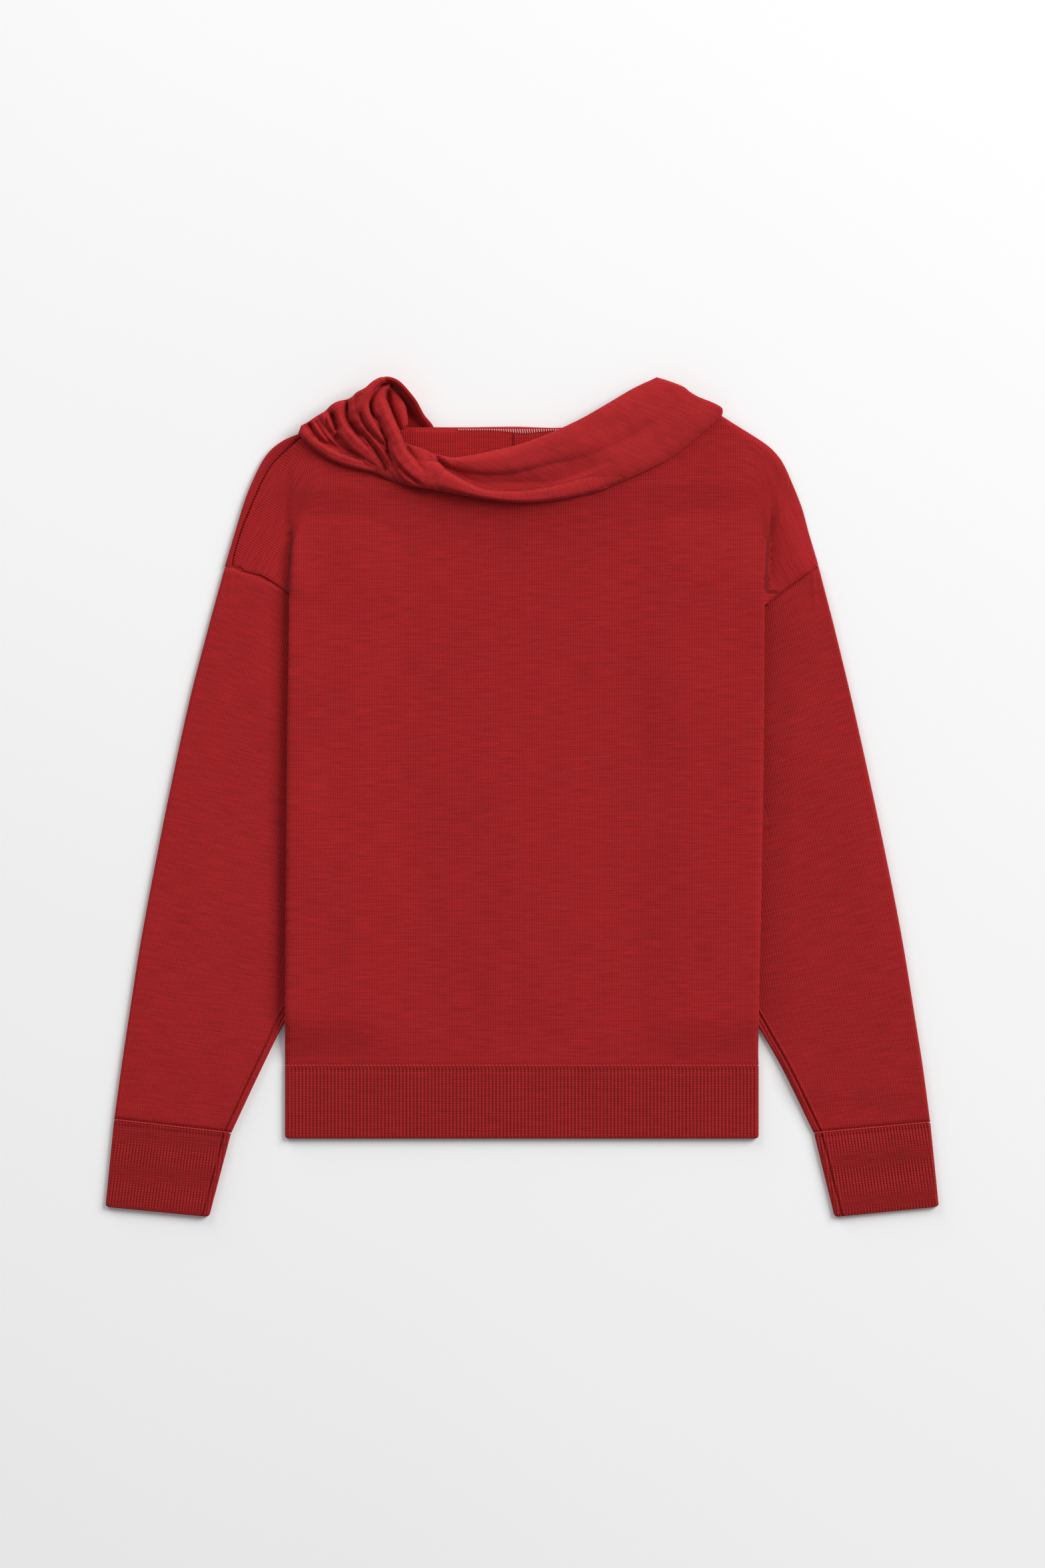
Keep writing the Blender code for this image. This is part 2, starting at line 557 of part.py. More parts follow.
def make_collar_back():
    """The collar's back, folded down between the back panel and the surface."""
    lower = [(-124, 288), (-80, 258), (-40, 243), (4, 238), (64, 248), (119, 272), (155, 301)]
    edge = [(164.3, 318.5), (141, 331.5), (124.5, 339.5), (111, 344.5)]
    upper = [(99, 325), (60, 297), (4, 288), (-50, 294), (-76, 301), (-100, 301.5)]
    outline = lower + edge + upper
    rounding = (1.6, 1.4, 1.4)
    return sheet("collar_back", outline, lambda x, y: LAYER, lambda x, y: 0.0, COLLAR_RED, 22, 16, rounding)


def main():
    for thing in list(bpy.data.objects):
        bpy.data.objects.remove(thing, do_unlink=True)
    parts = bpy.data.collections.new("pullover")
    bpy.context.scene.collection.children.link(parts)
    origin = bpy.data.objects.new("pullover_origin", None)
    parts.objects.link(origin)
    make_sleeves()
    make_ribs()
    make_back()
    make_front()
    make_neck_rib()
    make_collar_back()
    make_collar_loop()
    make_collar_front()
    make_collar_twist()


main()
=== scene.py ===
"""Looks of a fine-knit pullover with a draped collar twisted on the right shoulder, laid flat face up.

Each knitted piece is drawn finer on the form of its solid: rounded edges, ribs, seams, soft folds and the
rolls of the collar. Sides are the wearer's, so the right sleeve is at -X. Tables are in millimetres.
"""

import math

import bpy
import numpy as np
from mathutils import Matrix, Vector
from mathutils.geometry import delaunay_2d_cdt


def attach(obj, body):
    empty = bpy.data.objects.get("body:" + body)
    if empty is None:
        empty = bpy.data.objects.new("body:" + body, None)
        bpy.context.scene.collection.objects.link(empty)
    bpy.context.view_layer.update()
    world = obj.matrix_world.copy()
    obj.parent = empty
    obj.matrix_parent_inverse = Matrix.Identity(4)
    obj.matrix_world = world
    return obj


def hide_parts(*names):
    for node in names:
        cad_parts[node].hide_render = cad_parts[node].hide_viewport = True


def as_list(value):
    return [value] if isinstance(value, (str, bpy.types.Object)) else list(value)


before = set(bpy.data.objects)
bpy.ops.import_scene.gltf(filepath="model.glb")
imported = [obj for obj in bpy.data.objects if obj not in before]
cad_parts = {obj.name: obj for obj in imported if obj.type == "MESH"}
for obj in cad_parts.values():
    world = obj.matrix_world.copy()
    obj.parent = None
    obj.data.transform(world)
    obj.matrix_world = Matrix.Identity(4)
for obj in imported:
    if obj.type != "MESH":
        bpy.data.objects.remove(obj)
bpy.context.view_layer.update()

MM = 0.001

# Cloth: a wall with its loft, the gap between layers, a layer of two walls, the step up onto one more layer
WALL = 1.9
GAP = 0.4
LAYER = 2 * WALL + GAP
STEP = LAYER + GAP

# Body
HEM_Y = -281.9
RIB_TOP_Y = -221.8
HALF_BODY = 195.5
TUCK = 155.0
UNDERARM = {-1: (-193.6, 169.1), 1: (201.9, 159.2)}

# Ribs and stitches
HEM_RIB_PITCH = 2.96
CUFF_RIB_PITCH = 2.55
NECK_RIB_PITCH = 1.95
WALE = 2.0
COURSE = 1.45
UNDERARM_SEAM_INSET = 6.0
SEAM_STRIP = 10.4

# Roundings and thicknesses
SIDE_ROUND = 3.6
SIDE_DROP = 2.4
COLLAR_CLOTH = 2.4
RIB_CORNER = 2.6
BACK_TUCK = 2.6

# Edges of the panels
SHOULDER_SEAM = ((-238.7, 190.6), (-237.1, 200.5), (-231.6, 219.2), (-223.3, 240.1), (-212.9, 263.2),
                 (-201.9, 279.1), (-182.1, 296.7))
BACK_SHOULDER = ((-245.3, 190.0), (-240.4, 206.5), (-233.8, 228.5), (-226.6, 250.5), (-216.7, 272.5),
                 (-207.9, 285.7), (-196.4, 294.5), (-182.0, 300.5))
BACK_NECK = ((-144.7, 303.5), (-100.7, 305.0), (-45.7, 305.0), (-7.2, 305.5), (38.5, 305.0),
             (86.4, 312.1), (124.9, 317.5), (160.0, 315.4))
FRONT_NECK = ((-155.7, 294.5), (-122.7, 278.0), (-89.7, 265.9), (-45.7, 258.8), (3.9, 254.9), (64.4, 265.9),
              (119.4, 291.0), (152.4, 308.0), (160.0, 315.4))
LEFT_SHOULDER = ((165.0, 314.4), (175.5, 307.7), (189.8, 298.9), (203.0, 290.1), (211.8, 281.3),
                 (217.3, 272.5), (222.2, 261.5), (231.0, 239.5), (237.1, 217.5), (243.7, 195.5),
                 (244.8, 191.7))
RIGHT_ARMHOLE = ((-199.1, 173.0), (-206.3, 177.9), (-215.6, 182.9), (-229.4, 186.2), (-238.7, 190.6))
LEFT_ARMHOLE = ((239.3, 186.2), (234.9, 184.5), (219.5, 173.0))
RIGHT_FOLD = ((-193.6, 169.1), (-192.5, 179.0), (-190.9, 201.0), (-188.7, 228.5), (-185.9, 250.5),
              (-183.2, 272.5))
LEFT_FOLD = ((201.9, 159.2), (201.9, 184.5), (203.5, 217.5), (205.7, 250.5), (208.0, 264.3))

# Sleeve sections from shoulder to cuff: (x, y) of the outer edge, then of the inner edge
RIGHT_SLEEVE = (
    ((-258.0, 143.0), (-TUCK, 112.0)),
    ((-274.3, 80.0), (-TUCK, 50.0)),
    ((-290.6, 5.0), (-TUCK, -20.0)),
    ((-305.2, -68.5), (-158.0, -92.0)),
    ((-315.6, -125.0), (-172.0, -145.0)),
    ((-323.4, -175.0), (-195.8, -185.6)),
    ((-330.2, -220.0), (-217.0, -228.5)),
    ((-336.6, -266.1), (-239.8, -277.1)),
)
LEFT_SLEEVE = (
    ((257.3, 143.0), (TUCK, 104.0)),
    ((272.5, 80.0), (TUCK, 50.0)),
    ((289.2, 5.0), (TUCK, -20.0)),
    ((304.7, -68.5), (158.0, -92.0)),
    ((315.4, -125.0), (172.0, -147.0)),
    ((324.0, -178.0), (195.8, -190.0)),
    ((331.0, -222.0), (216.0, -226.0)),
    ((337.2, -268.3), (240.9, -277.1)),
)
RIGHT_HEAD = ((-245.3, 189.3), (-238.7, 189.8), (-229.4, 185.6), (-215.6, 182.2), (-206.3, 177.2),
              (-199.1, 172.3), (-193.6, 168.2), (-TUCK, 150.0))
LEFT_HEAD = ((244.8, 190.9), (239.5, 185.5), (235.2, 183.8), (219.9, 172.3), (204.9, 160.2), (201.9, 157.9),
             (TUCK, 132.0))
RIGHT_CUFF = (((-336.7, -266.9), (-240.2, -277.9)), ((-343.8, -338.2), (-258.2, -346.6)))
LEFT_CUFF = (((337.3, -269.1), (241.3, -277.9)), ((344.3, -338.0), (258.2, -346.6)))

# Collar rolls as stations of (x, y, half width, height of the crest above the surface)
FRONT_ROLLS = {
    "band": ((-70, 271, 16, 14.0), (-40, 268, 15, 15), (-8, 268.5, 15.5, 15.2), (30, 275, 22, 15),
             (50, 279, 27, 15), (98, 302, 31, 15.5), (138, 325, 25, 14.8), (158, 334, 20, 14.2)),
    "upper": ((-73, 282, 3.5, 14.5), (-52, 275, 6.0, 17.5), (-30, 275.5, 9.3, 18.8), (-5, 279.6, 11.2, 19.2),
              (20, 289, 14, 18.8), (45, 297, 18, 18), (88, 314, 22, 16.8), (126, 333, 18, 15.5)),
    "lower": ((-76, 265, 12.5, 20.5), (-56, 257.6, 8.8, 19.8), (-41, 252, 6.2, 19), (-28, 248.8, 5.2, 18.4),
              (-11, 247.4, 5.4, 18), (3.4, 247.6, 5.8, 17.8), (20, 249.6, 6.6, 17.4), (37, 252.8, 7.6, 16.9),
              (60, 260, 9.4, 15.4), (84, 270, 8.5, 13.4), (100, 279, 7, 11.5)),
}
TWIST_ROLLS = {
    "A": ((-181, 304, 6, 15), (-176.5, 298.5, 5.5, 16), (-169.5, 291, 4.8, 16), (-159, 284, 4.5, 15.5),
          (-148, 279, 4.3, 15), (-136, 275.5, 4.2, 14.5), (-124, 271.5, 3.8, 14), (-115, 267, 3, 13)),
    "B": ((-171, 309, 8, 17), (-165.5, 300, 8, 17), (-158, 292.5, 5.5, 15.5), (-149, 287, 4, 14.5),
          (-141, 283.8, 3, 14), (-134, 281, 2.5, 13.5)),
    "C": ((-162, 314, 6, 18.5), (-158, 307, 5, 18), (-155, 301, 4, 16.5)),
    "D": ((-150, 321, 8, 20), (-147, 312, 7.5, 20), (-144, 302, 7, 19.5), (-137, 292.5, 6.2, 18.5),
          (-128, 284.5, 5.5, 17.5), (-119, 277, 4.8, 16), (-113, 270.5, 4, 14.5)),
    "E": ((-136, 326, 7, 22), (-136.5, 315, 6, 21.5), (-130.5, 303, 5.2, 20.5), (-122.5, 292.5, 5.2, 19.5),
          (-114.5, 283, 5.4, 18), (-106, 273, 6.2, 16.5), (-98, 265.5, 6.4, 15), (-89, 260, 5.6, 14),
          (-78, 257, 4.5, 13)),
    "G": ((-110.5, 338.5, 2.6, 20), (-114, 335, 4, 22), (-117.5, 328, 6.5, 23.5), (-115.5, 318, 8.2, 24.5),
          (-110, 306.5, 7.8, 24.5), (-104.5, 295.5, 7.4, 24), (-101.5, 285.5, 7.8, 23), (-96, 276, 8.8, 22),
          (-88, 268.5, 10.7, 21), (-74, 266, 12.5, 20.5)),
    "F": ((-108, 343, 3.5, 20.5), (-115, 343.5, 4.2, 23.5), (-122.5, 339, 6.5, 25), (-129, 331.5, 8.5, 25.3),
          (-131, 322, 8.2, 25), (-127.5, 312, 6.4, 24.2), (-121.5, 302.5, 5.2, 23), (-116, 294, 4, 21.5),
          (-111.5, 287, 2.4, 19.5)),
    "inner fold": ((-107, 336, 4.0, 14.5), (-103, 327, 6.2, 16), (-99.8, 316, 7, 16.5),
                   (-98.3, 305, 6.6, 16)),
    "core": ((-176, 301, 13, 12.5), (-150, 297, 21, 14), (-124, 302, 30, 17), (-108, 290, 24, 17),
             (-78, 268, 14, 16)),
    "hollow": ((-96, 293, 9, 15), (-84, 285, 9, 14), (-72, 280, 7, 14)),
}
# Creases between the rolls: depth, reach to the left and right, length over which the end runs out, line
CREASES = (
    (6.0, 2.4, 0.7, 8, ((-176.8, 308), (-169.3, 296.8), (-162.7, 290.9), (-150.9, 285.2), (-141.8, 281.4),
                        (-130.6, 278.2))),
    (3.0, 1.4, 1.2, 8, ((-171, 311), (-164.5, 300.5), (-158, 292.6), (-149.5, 286.6), (-140.5, 282))),
    (7.5, 1.4, 2.6, 4, ((-156.4, 317.5), (-153.6, 310.5), (-151.4, 303), (-151.5, 300.5))),
    (5.0, 0.7, 2.4, 6, ((-154.5, 298.0), (-149, 291), (-141.8, 285.6), (-133.6, 280.0))),
    (2.4, 1.0, 1.6, 6, ((-160.5, 319), (-161.4, 310.5), (-158.5, 302.5), (-153.5, 297))),
    (5.4, 0.8, 3.0, 8, ((-141.9, 329.8), (-143.3, 321), (-143.7, 314.4), (-139.4, 305.3), (-129.4, 296.1))),
    (6.4, 2.4, 0.8, 3, ((-141, 308), (-136, 301.5), (-129.2, 295.6), (-121.2, 285.6), (-115.8, 276.8),
                        (-112.2, 267.6))),
    (4.2, 1.5, 1.2, 6, ((-133.6, 317), (-128.9, 306.8), (-121.4, 297.4), (-110.2, 286.0))),
    (5.4, 2.2, 0.6, 6, ((-109.5, 341.5), (-115.6, 339.6), (-120.8, 335.6), (-124.9, 329), (-125.5, 322.3),
                        (-122.9, 314.6), (-118.4, 309.6), (-115.6, 302.6), (-112, 294.5), (-110.0, 287))),
    (4.0, 0.7, 2.4, 8, ((-111.2, 290), (-108.2, 283.5), (-102.7, 275.1), (-92.4, 264.4), (-80, 256))),
    (4.6, 2.4, 0.7, 6, ((-112.5, 336), (-110.3, 324.5), (-104.2, 309.6), (-99.4, 297.5), (-97, 291))),
    (3.4, 3.2, 0.7, 8, ((-97.2, 293.5), (-94.2, 285.5), (-89.6, 277.2), (-84.5, 271.6), (-80, 268.6))),
    (3.4, 2.8, 0.8, 60, ((-73.6, 283.4), (-66.4, 274.4), (-56, 265.8), (-41, 257.3), (-28.3, 253),
                         (-11, 252.3), (3.4, 253), (20, 255.6), (37, 259.8), (60, 268))),
    (1.4, 1.3, 1.3, 6, ((-149.5, 325), (-148, 316), (-145, 307.5), (-139.5, 298.5))),
    (1.3, 1.2, 1.2, 6, ((-131, 333), (-136.5, 326), (-136.6, 319))),
    (0.8, 1.4, 1.4, 6, ((-121, 287), (-114, 277.5), (-105, 268.5))),
    (3.0, 9.0, 1.8, 60, ((-60, 270), (-41, 260), (-28, 256), (-11, 255.4), (3.4, 256), (20, 258.8),
                         (37, 263.2), (60, 271.5), (84, 281))),
)
COLLAR_LOWER = ((-184.6, 299.8), (-181.8, 296.1), (-175.8, 290.1), (-167.4, 283.6), (-156.7, 277),
                (-146, 272.9), (-132.8, 269.3), (-123.3, 267.5), (-109, 261.5), (-98.2, 257.9),
                (-86.4, 255.3), (-73.8, 253.2), (-45.7, 248.0), (-20, 244), (3.9, 242.3), (34, 245),
                (64.4, 252.4), (92, 264.2), (119.4, 277.5), (145, 296.5), (164.5, 313.5))
COLLAR_END = ((165.7, 316.5), (165.0, 320.9), (157.3, 325.3), (145.7, 329.9), (138.6, 334.1),
              (133.1, 338.3), (121.5, 342.9), (111.1, 346.2))
COLLAR_UPPER = ((111.1, 346.0), (92, 337), (70, 324), (50, 312.5), (29, 302.4), (14, 296.3), (-5, 290.0),
                (-32.5, 283.9), (-54, 280.0), (-62.7, 280.8), (-73.8, 283.5), (-80.3, 286.8),
                (-95.7, 291.8), (-98.2, 296.1), (-100, 301), (-94.2, 307.2), (-94.1, 312.8),
                (-95.9, 322.4), (-100.7, 330.7), (-105.4, 337.3), (-110, 341.5))
TWIST_UPPER = ((-112.5, 346), (-117.3, 345.4), (-123.3, 342), (-129.2, 336.9), (-136.4, 333.2),
               (-141.2, 328.9), (-151.9, 325.9), (-158.5, 322), (-162.7, 317.8), (-169.8, 313.6),
               (-175.8, 309.4), (-181.8, 306.4))
LOOP_OUTER = ((-71.5, 302.4), (-74.2, 307.8), (-80.4, 315.2), (-86.3, 325.9), (-92.3, 333.7),
              (-99.4, 341.4), (-105.4, 345), (-111.8, 346.2), (-117.5, 344.2))
LOOP_UNDER = 5.0
LOOP_INNER = ((-109.4, 342.2), (-104.8, 338), (-100, 331.3), (-95.2, 322.7), (-93.4, 313), (-92.4, 302.4))
COLLAR_BACK = ((-124, 288), (-80, 258), (-40, 243), (4, 238), (64, 248), (119, 272), (155, 301),
               (164.3, 318.5), (141, 331.5), (124.5, 339.5), (111, 344.5), (99, 325), (60, 297), (4, 288),
               (-50, 294), (-76, 301), (-100, 301.5))


def smooth(t):
    """A ramp from 0 to 1 with soft ends."""
    t = np.clip(t, 0.0, 1.0)
    return t * t * (3 - 2 * t)


def curve(points, step):
    """A smooth line through the points, with values every step along it."""
    points = np.array(points, float)
    ends = np.vstack((2 * points[0] - points[1], points, 2 * points[-1] - points[-2]))
    made = [points[:1]]
    for before, a, b, after in zip(ends, ends[1:], ends[2:], ends[3:]):
        count = max(1, math.ceil(math.dist(a[:2], b[:2]) / step))
        t = np.linspace(0, 1, count + 1)[1:, None]
        made.append(
            0.5 * (2 * a + (b - before) * t + (2 * before - 5 * a + 4 * b - after) * t**2
                   + (3 * a - before - 3 * b + after) * t**3)
        )
    return np.vstack(made)


def straight(points, step):
    """Straight runs between the points, with values no further than step apart."""
    points = np.array(points, float)
    made = [points[:1]]
    for a, b in zip(points, points[1:]):
        count = max(1, math.ceil(math.dist(a, b) / step))
        made.append(a + (b - a) * np.linspace(0, 1, count + 1)[1:, None])
    return np.vstack(made)


def line_x(line, y):
    """Where a line stands at the height y."""
    line = np.array(line)
    return np.interp(y, line[:, 1], line[:, 0])


def nearest(line, p):
    """For each point the distance to a line, the length along it and the side, 1 on its left."""
    line = np.asarray(line, float)
    lengths = np.hypot(*(line[1:] - line[:-1]).T)
    starts = np.concatenate(([0], np.cumsum(lengths)))
    away, along, side = np.full(len(p), 1e9), np.zeros(len(p)), np.ones(len(p))
    for a, b, start, length in zip(line, line[1:], starts, lengths):
        if length < 1e-9:
            continue
        d, q = (b - a) / length, p - a
        t = np.clip(q @ d, 0, length)
        gap = np.hypot(q[:, 0] - t * d[0], q[:, 1] - t * d[1])
        closer = gap < away
        away[closer] = gap[closer]
        along[closer] = (start + t)[closer]
        side[closer] = np.where(d[0] * q[:, 1] - d[1] * q[:, 0] > 0, 1, -1)[closer]
    return away, along, side


def inside(outline, p):
    """Which points lie inside a closed outline."""
    odd = np.zeros(len(p), bool)
    x, y = p[:, 0], p[:, 1]
    for (x0, y0), (x1, y1) in zip(outline, np.roll(outline, -1, axis=0)):
        if y0 != y1:
            odd ^= ((y0 > y) != (y1 > y)) & (x < x0 + (x1 - x0) * (y - y0) / (y1 - y0))
    return odd


def waves(p, length, height, seed, stretch=(1, 1)):
    """Soft uneven swells, a few sines in directions of their own."""
    draw = np.random.default_rng(seed)
    total = np.zeros(len(p))
    for _ in range(7):
        turn, phase = draw.uniform(0, math.tau, 2)
        k = math.tau / (length * draw.uniform(0.7, 1.5))
        along = p[:, 0] * math.cos(turn) / stretch[0] + p[:, 1] * math.sin(turn) / stretch[1]
        total += np.sin(k * along + phase)
    return total * height / 2.6


def moved(line, distance):
    """A closed outline moved to its left by distance."""
    before, after = line - np.roll(line, 1, axis=0), np.roll(line, -1, axis=0) - line
    across = np.zeros_like(line)
    for part in (before, after):
        across += np.stack((-part[:, 1], part[:, 0]), 1) / np.maximum(np.hypot(*part.T), 1e-9)[:, None]
    size = np.hypot(*across.T)[:, None]
    return line + across / size / np.maximum(0.6, size / 2) * distance


def lift(p):
    """How far the back panel lies above the surface, over the sleeves and over the collar's back."""
    x, y = p[:, 0], p[:, 1]
    right = x < 0
    side = np.where(right, -1, 1)
    fold = np.where(right, line_x(RIGHT_FOLD, y), line_x(LEFT_FOLD, y))
    half = 1.2 + 15 * smooth((y - np.where(right, 202, 228)) / np.where(right, 62, 42))
    above = y > np.where(right, UNDERARM[-1][1], UNDERARM[1][1]) - 2
    inboard = np.where(above, smooth((side * (fold - x) + half) / (2 * half)), 1)
    inwards = smooth((np.abs(x) - 85) / 56)
    upwards = 1 - smooth((y - 175) / 105)
    downwards = smooth((y - RIB_TOP_Y) / 42)
    collar_y = np.interp(x, (-98, -74, -40, 4, 40, 64, 119), (254, 252, 246, 241, 245, 251, 258))
    over_collar = np.clip(1 - (collar_y - y) / 64, 0, 1) ** 2 * (1 - smooth((np.abs(x) - 168) / 47))
    return STEP * np.maximum(inboard * inwards * upwards * downwards, over_collar)


def neck_edge():
    """The line along the back neck, which the collar goes over."""
    return np.array([*BACK_SHOULDER[-2:], *BACK_NECK, *LEFT_SHOULDER[:3]])


def on_body(p):
    """The underside of what lies on the front panel, a little clear of it."""
    return lift(p) + LAYER + GAP + 0.1


# Knitted cloth in the shader: arithmetic on a Wire adds the Math nodes


class Wire:
    """A socket of a material, with the arithmetic of plain numbers."""

    def __init__(self, tree, socket=None):
        self.tree = tree
        self.socket = socket

    def node(self, kind, settings, sockets, output=0):
        """Any other node, from its type, its settings and the values or links of its sockets."""
        made = self.tree.nodes.new(kind)
        for key, value in settings.items():
            setattr(made, key, value)
        for key, value in sockets.items():
            if isinstance(value, Wire):
                self.tree.links.new(value.socket, made.inputs[key])
            else:
                made.inputs[key].default_value = value
        return Wire(self.tree, made.outputs[output])

    def maths(self, operation, *values):
        return self.node("ShaderNodeMath", {"operation": operation}, dict(enumerate(values)))

    def __add__(self, other):
        return self.maths("ADD", self, other)

    __radd__ = __add__

    def __sub__(self, other):
        return self.maths("SUBTRACT", self, other)

    def __rsub__(self, other):
        return self.maths("SUBTRACT", other, self)

    def __mul__(self, other):
        return self.maths("MULTIPLY", self, other)

    __rmul__ = __mul__

    def __truediv__(self, other):
        return self.maths("DIVIDE", self, other)

    def __rtruediv__(self, other):
        return self.maths("DIVIDE", other, self)

    def __abs__(self):
        return self.maths("ABSOLUTE", self)

    def sine(self):
        return self.maths("SINE", self)

    def fraction(self):
        return self.maths("FRACT", self)

    def power(self, exponent):
        return self.maths("POWER", self, exponent)


def linear(colour):
    """A colour as seen, in the values that the shader takes."""
    return [((c + 0.055) / 1.055) ** 2.4 for c in colour]


# rib deepens the shade that knit paints into the grooves between stitches
def knit(name, colour, pitch=WALE, course=COURSE, relief=0.22, rib=0.0, fuzz=1.0, streaks=1.0, bead=0.38):
    """Fine knit: columns of V stitches along the cloth's own directions, heathered yarn and a little fuzz."""
    made = bpy.data.materials.new(name)
    made.use_nodes = True
    tree = made.node_tree
    start = Wire(tree)
    cloth = start.node("ShaderNodeAttribute", {"attribute_name": "knit"}, {}, 1)
    u = start.node("ShaderNodeSeparateXYZ", {}, {0: cloth}, 0)
    v = start.node("ShaderNodeSeparateXYZ", {}, {0: cloth}, 1)
    spot = start.node("ShaderNodeTexCoord", {}, {}, 3)

    def noise(where, scale, detail=2.0, rough=0.5):
        return start.node(
            "ShaderNodeTexNoise", {}, {"Vector": where, "Scale": scale, "Detail": detail, "Roughness": rough}
        )

    def stretched(across, along):
        return start.node("ShaderNodeCombineXYZ", {}, {0: u * across, 1: v * along})

    drift = (noise(spot, 160.0, 1.0) - 0.5) * 0.9
    column = (u + drift * 0.35) / pitch
    middle = abs(column.fraction() * 2 - 1)
    wale = abs((column * math.pi).sine()).power(0.8)
    stitch = ((v + drift) / course * math.tau + middle * 2.4).sine() * 0.5 + 0.5
    yarn = noise(stretched(1.6, 1.6), 1.0, 2.0)
    fleck = noise(stretched(0.75, 1.5), 1.0, 3.0, 0.7)
    streak = noise(stretched(0.05, 0.62), 1.0, 2.0)
    patch = noise(spot, 14.0, 2.0)
    pattern = wale * ((1 - bead) + stitch * bead)
    height = pattern + yarn * (0.5 * fuzz)
    # painted shade and heather: the stitch term darkens the grooves between wales and stitch rows, more so
    # with rib; the fleck, streak and patch terms are the heathered yarn's own tone
    groove_shade_and_heather = (
        1.0
        + (pattern - 0.55) * (0.34 + rib)
        + (fleck - 0.5) * 0.95
        + (streak - 0.5) * (0.55 * streaks)
        + (patch - 0.5) * 0.12
    )
    full = [c * 2.0 for c in linear(colour)]
    tinted = start.node(
        "ShaderNodeMix",
        {"data_type": "RGBA", "clamp_factor": True},
        {0: groove_shade_and_heather * 0.5, 6: (0.0, 0.0, 0.0, 1.0), 7: (*full, 1.0)},
        2,
    )
    pale = [min(1.0, c * 1.25 + 0.02) for c in linear(colour)]
    halo = start.node(
        "ShaderNodeMix",
        {"data_type": "RGBA"},
        {0: (noise(stretched(1.1, 2.3), 1.0, 1.0) - 0.55) * 0.5, 6: tinted, 7: (*pale, 1.0)},
        2,
    )
    bump = start.node("ShaderNodeBump", {}, {"Strength": 1.0, "Distance": relief * MM, "Height": height})
    shader = tree.nodes["Principled BSDF"]
    tree.links.new(halo.socket, shader.inputs["Base Color"])
    tree.links.new(bump.socket, shader.inputs["Normal"])
    shader.inputs["Roughness"].default_value = 0.92
    shader.inputs["Specular IOR Level"].default_value = 0.12
    shader.inputs["Sheen Weight"].default_value = 0.05
    shader.inputs["Sheen Roughness"].default_value = 0.5
    shader.inputs["Sheen Tint"].default_value = (1.0, 0.55, 0.5, 1.0)
    made.diffuse_color = (*linear(colour), 1.0)
    return made


def thread(name, colour):
    """A plain sewing or linking yarn, twisted."""
    made = bpy.data.materials.new(name)
    made.use_nodes = True
    start = Wire(made.node_tree)
    spot = start.node("ShaderNodeTexCoord", {}, {}, 3)
    ply = start.node("ShaderNodeTexNoise", {}, {"Vector": spot, "Scale": 2400.0, "Detail": 2.0})
    low, high = ([c * k for c in linear(colour)] for k in (0.72, 1.2))
    tone = start.node(
        "ShaderNodeMix", {"data_type": "RGBA"}, {0: ply, 6: (*low, 1.0), 7: (*high, 1.0)}, 2
    )
    bump = start.node("ShaderNodeBump", {}, {"Strength": 0.6, "Distance": 0.15 * MM, "Height": ply})
    shader = made.node_tree.nodes["Principled BSDF"]
    made.node_tree.links.new(tone.socket, shader.inputs["Base Color"])
    made.node_tree.links.new(bump.socket, shader.inputs["Normal"])
    shader.inputs["Roughness"].default_value = 0.9
    shader.inputs["Specular IOR Level"].default_value = 0.1
    made.diffuse_color = (*linear(colour), 1.0)
    return made


BODY_KNIT = knit("body knit", (0.618, 0.122, 0.132), streaks=1.2)
RIGHT_SLEEVE_KNIT = knit("right sleeve knit", (0.622, 0.126, 0.136), streaks=1.2)
LEFT_SLEEVE_KNIT = knit("left sleeve knit", (0.600, 0.120, 0.128), streaks=1.2)
RIB_KNIT = knit("rib knit", (0.590, 0.124, 0.130), HEM_RIB_PITCH, 2.0, 0.35, 0.45, bead=0.5)
CUFF_KNIT = knit("cuff knit", (0.590, 0.124, 0.130), CUFF_RIB_PITCH, 2.0, 0.35, 0.45, bead=0.5)
NECK_KNIT = knit("neck band knit", (0.650, 0.125, 0.130), NECK_RIB_PITCH, 1.6, 0.3, 0.4)
COLLAR_KNIT = knit("collar knit", (0.650, 0.142, 0.150), 1.55, 1.15, 0.16, -0.05, 1.2, 1.0)
# the loop's inside is the knit's fuzzier reverse side, its colour darkened below the collar's as painted
# shade inside the loop
SHADED_LOOP_KNIT = knit("collar inner knit", (0.600, 0.100, 0.104), 1.7, 1.2, 0.25, 0.0, 2.0, 0.6)
# the linked rows are a lighter copy of the rib knit: a painted highlight on the raised row
HIGHLIGHTED_LINKED_KNIT = knit("linked row", (0.66, 0.155, 0.16), HEM_RIB_PITCH, 1.5, 0.2, 0.2)
LINKING = thread("linking yarn", (0.86, 0.62, 0.63))
SEAM_YARN = thread("seam yarn", (0.54, 0.095, 0.105))
PIECES = {}


def place(name, points, faces, cloth, look, slot, stands_for=()):
    """A piece from points in millimetres, with the knit's own directions at each point."""
    mesh = bpy.data.meshes.new(name)
    mesh.from_pydata((np.asarray(points) * MM).tolist(), [], faces)
    mesh.update()
    knit_map = mesh.attributes.new("knit", "FLOAT_VECTOR", "POINT")
    values = np.zeros((len(points), 3), np.float32)
    values[:, :2] = cloth
    knit_map.data.foreach_set("vector", values.ravel())
    mesh.materials.append(look)
    mesh.shade_smooth()
    thing = bpy.data.objects.new(name, mesh)
    bpy.context.scene.collection.objects.link(thing)
    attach(thing, "root")
    if stands_for:
        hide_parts(*stands_for)
    PIECES[name] = thing
    return thing


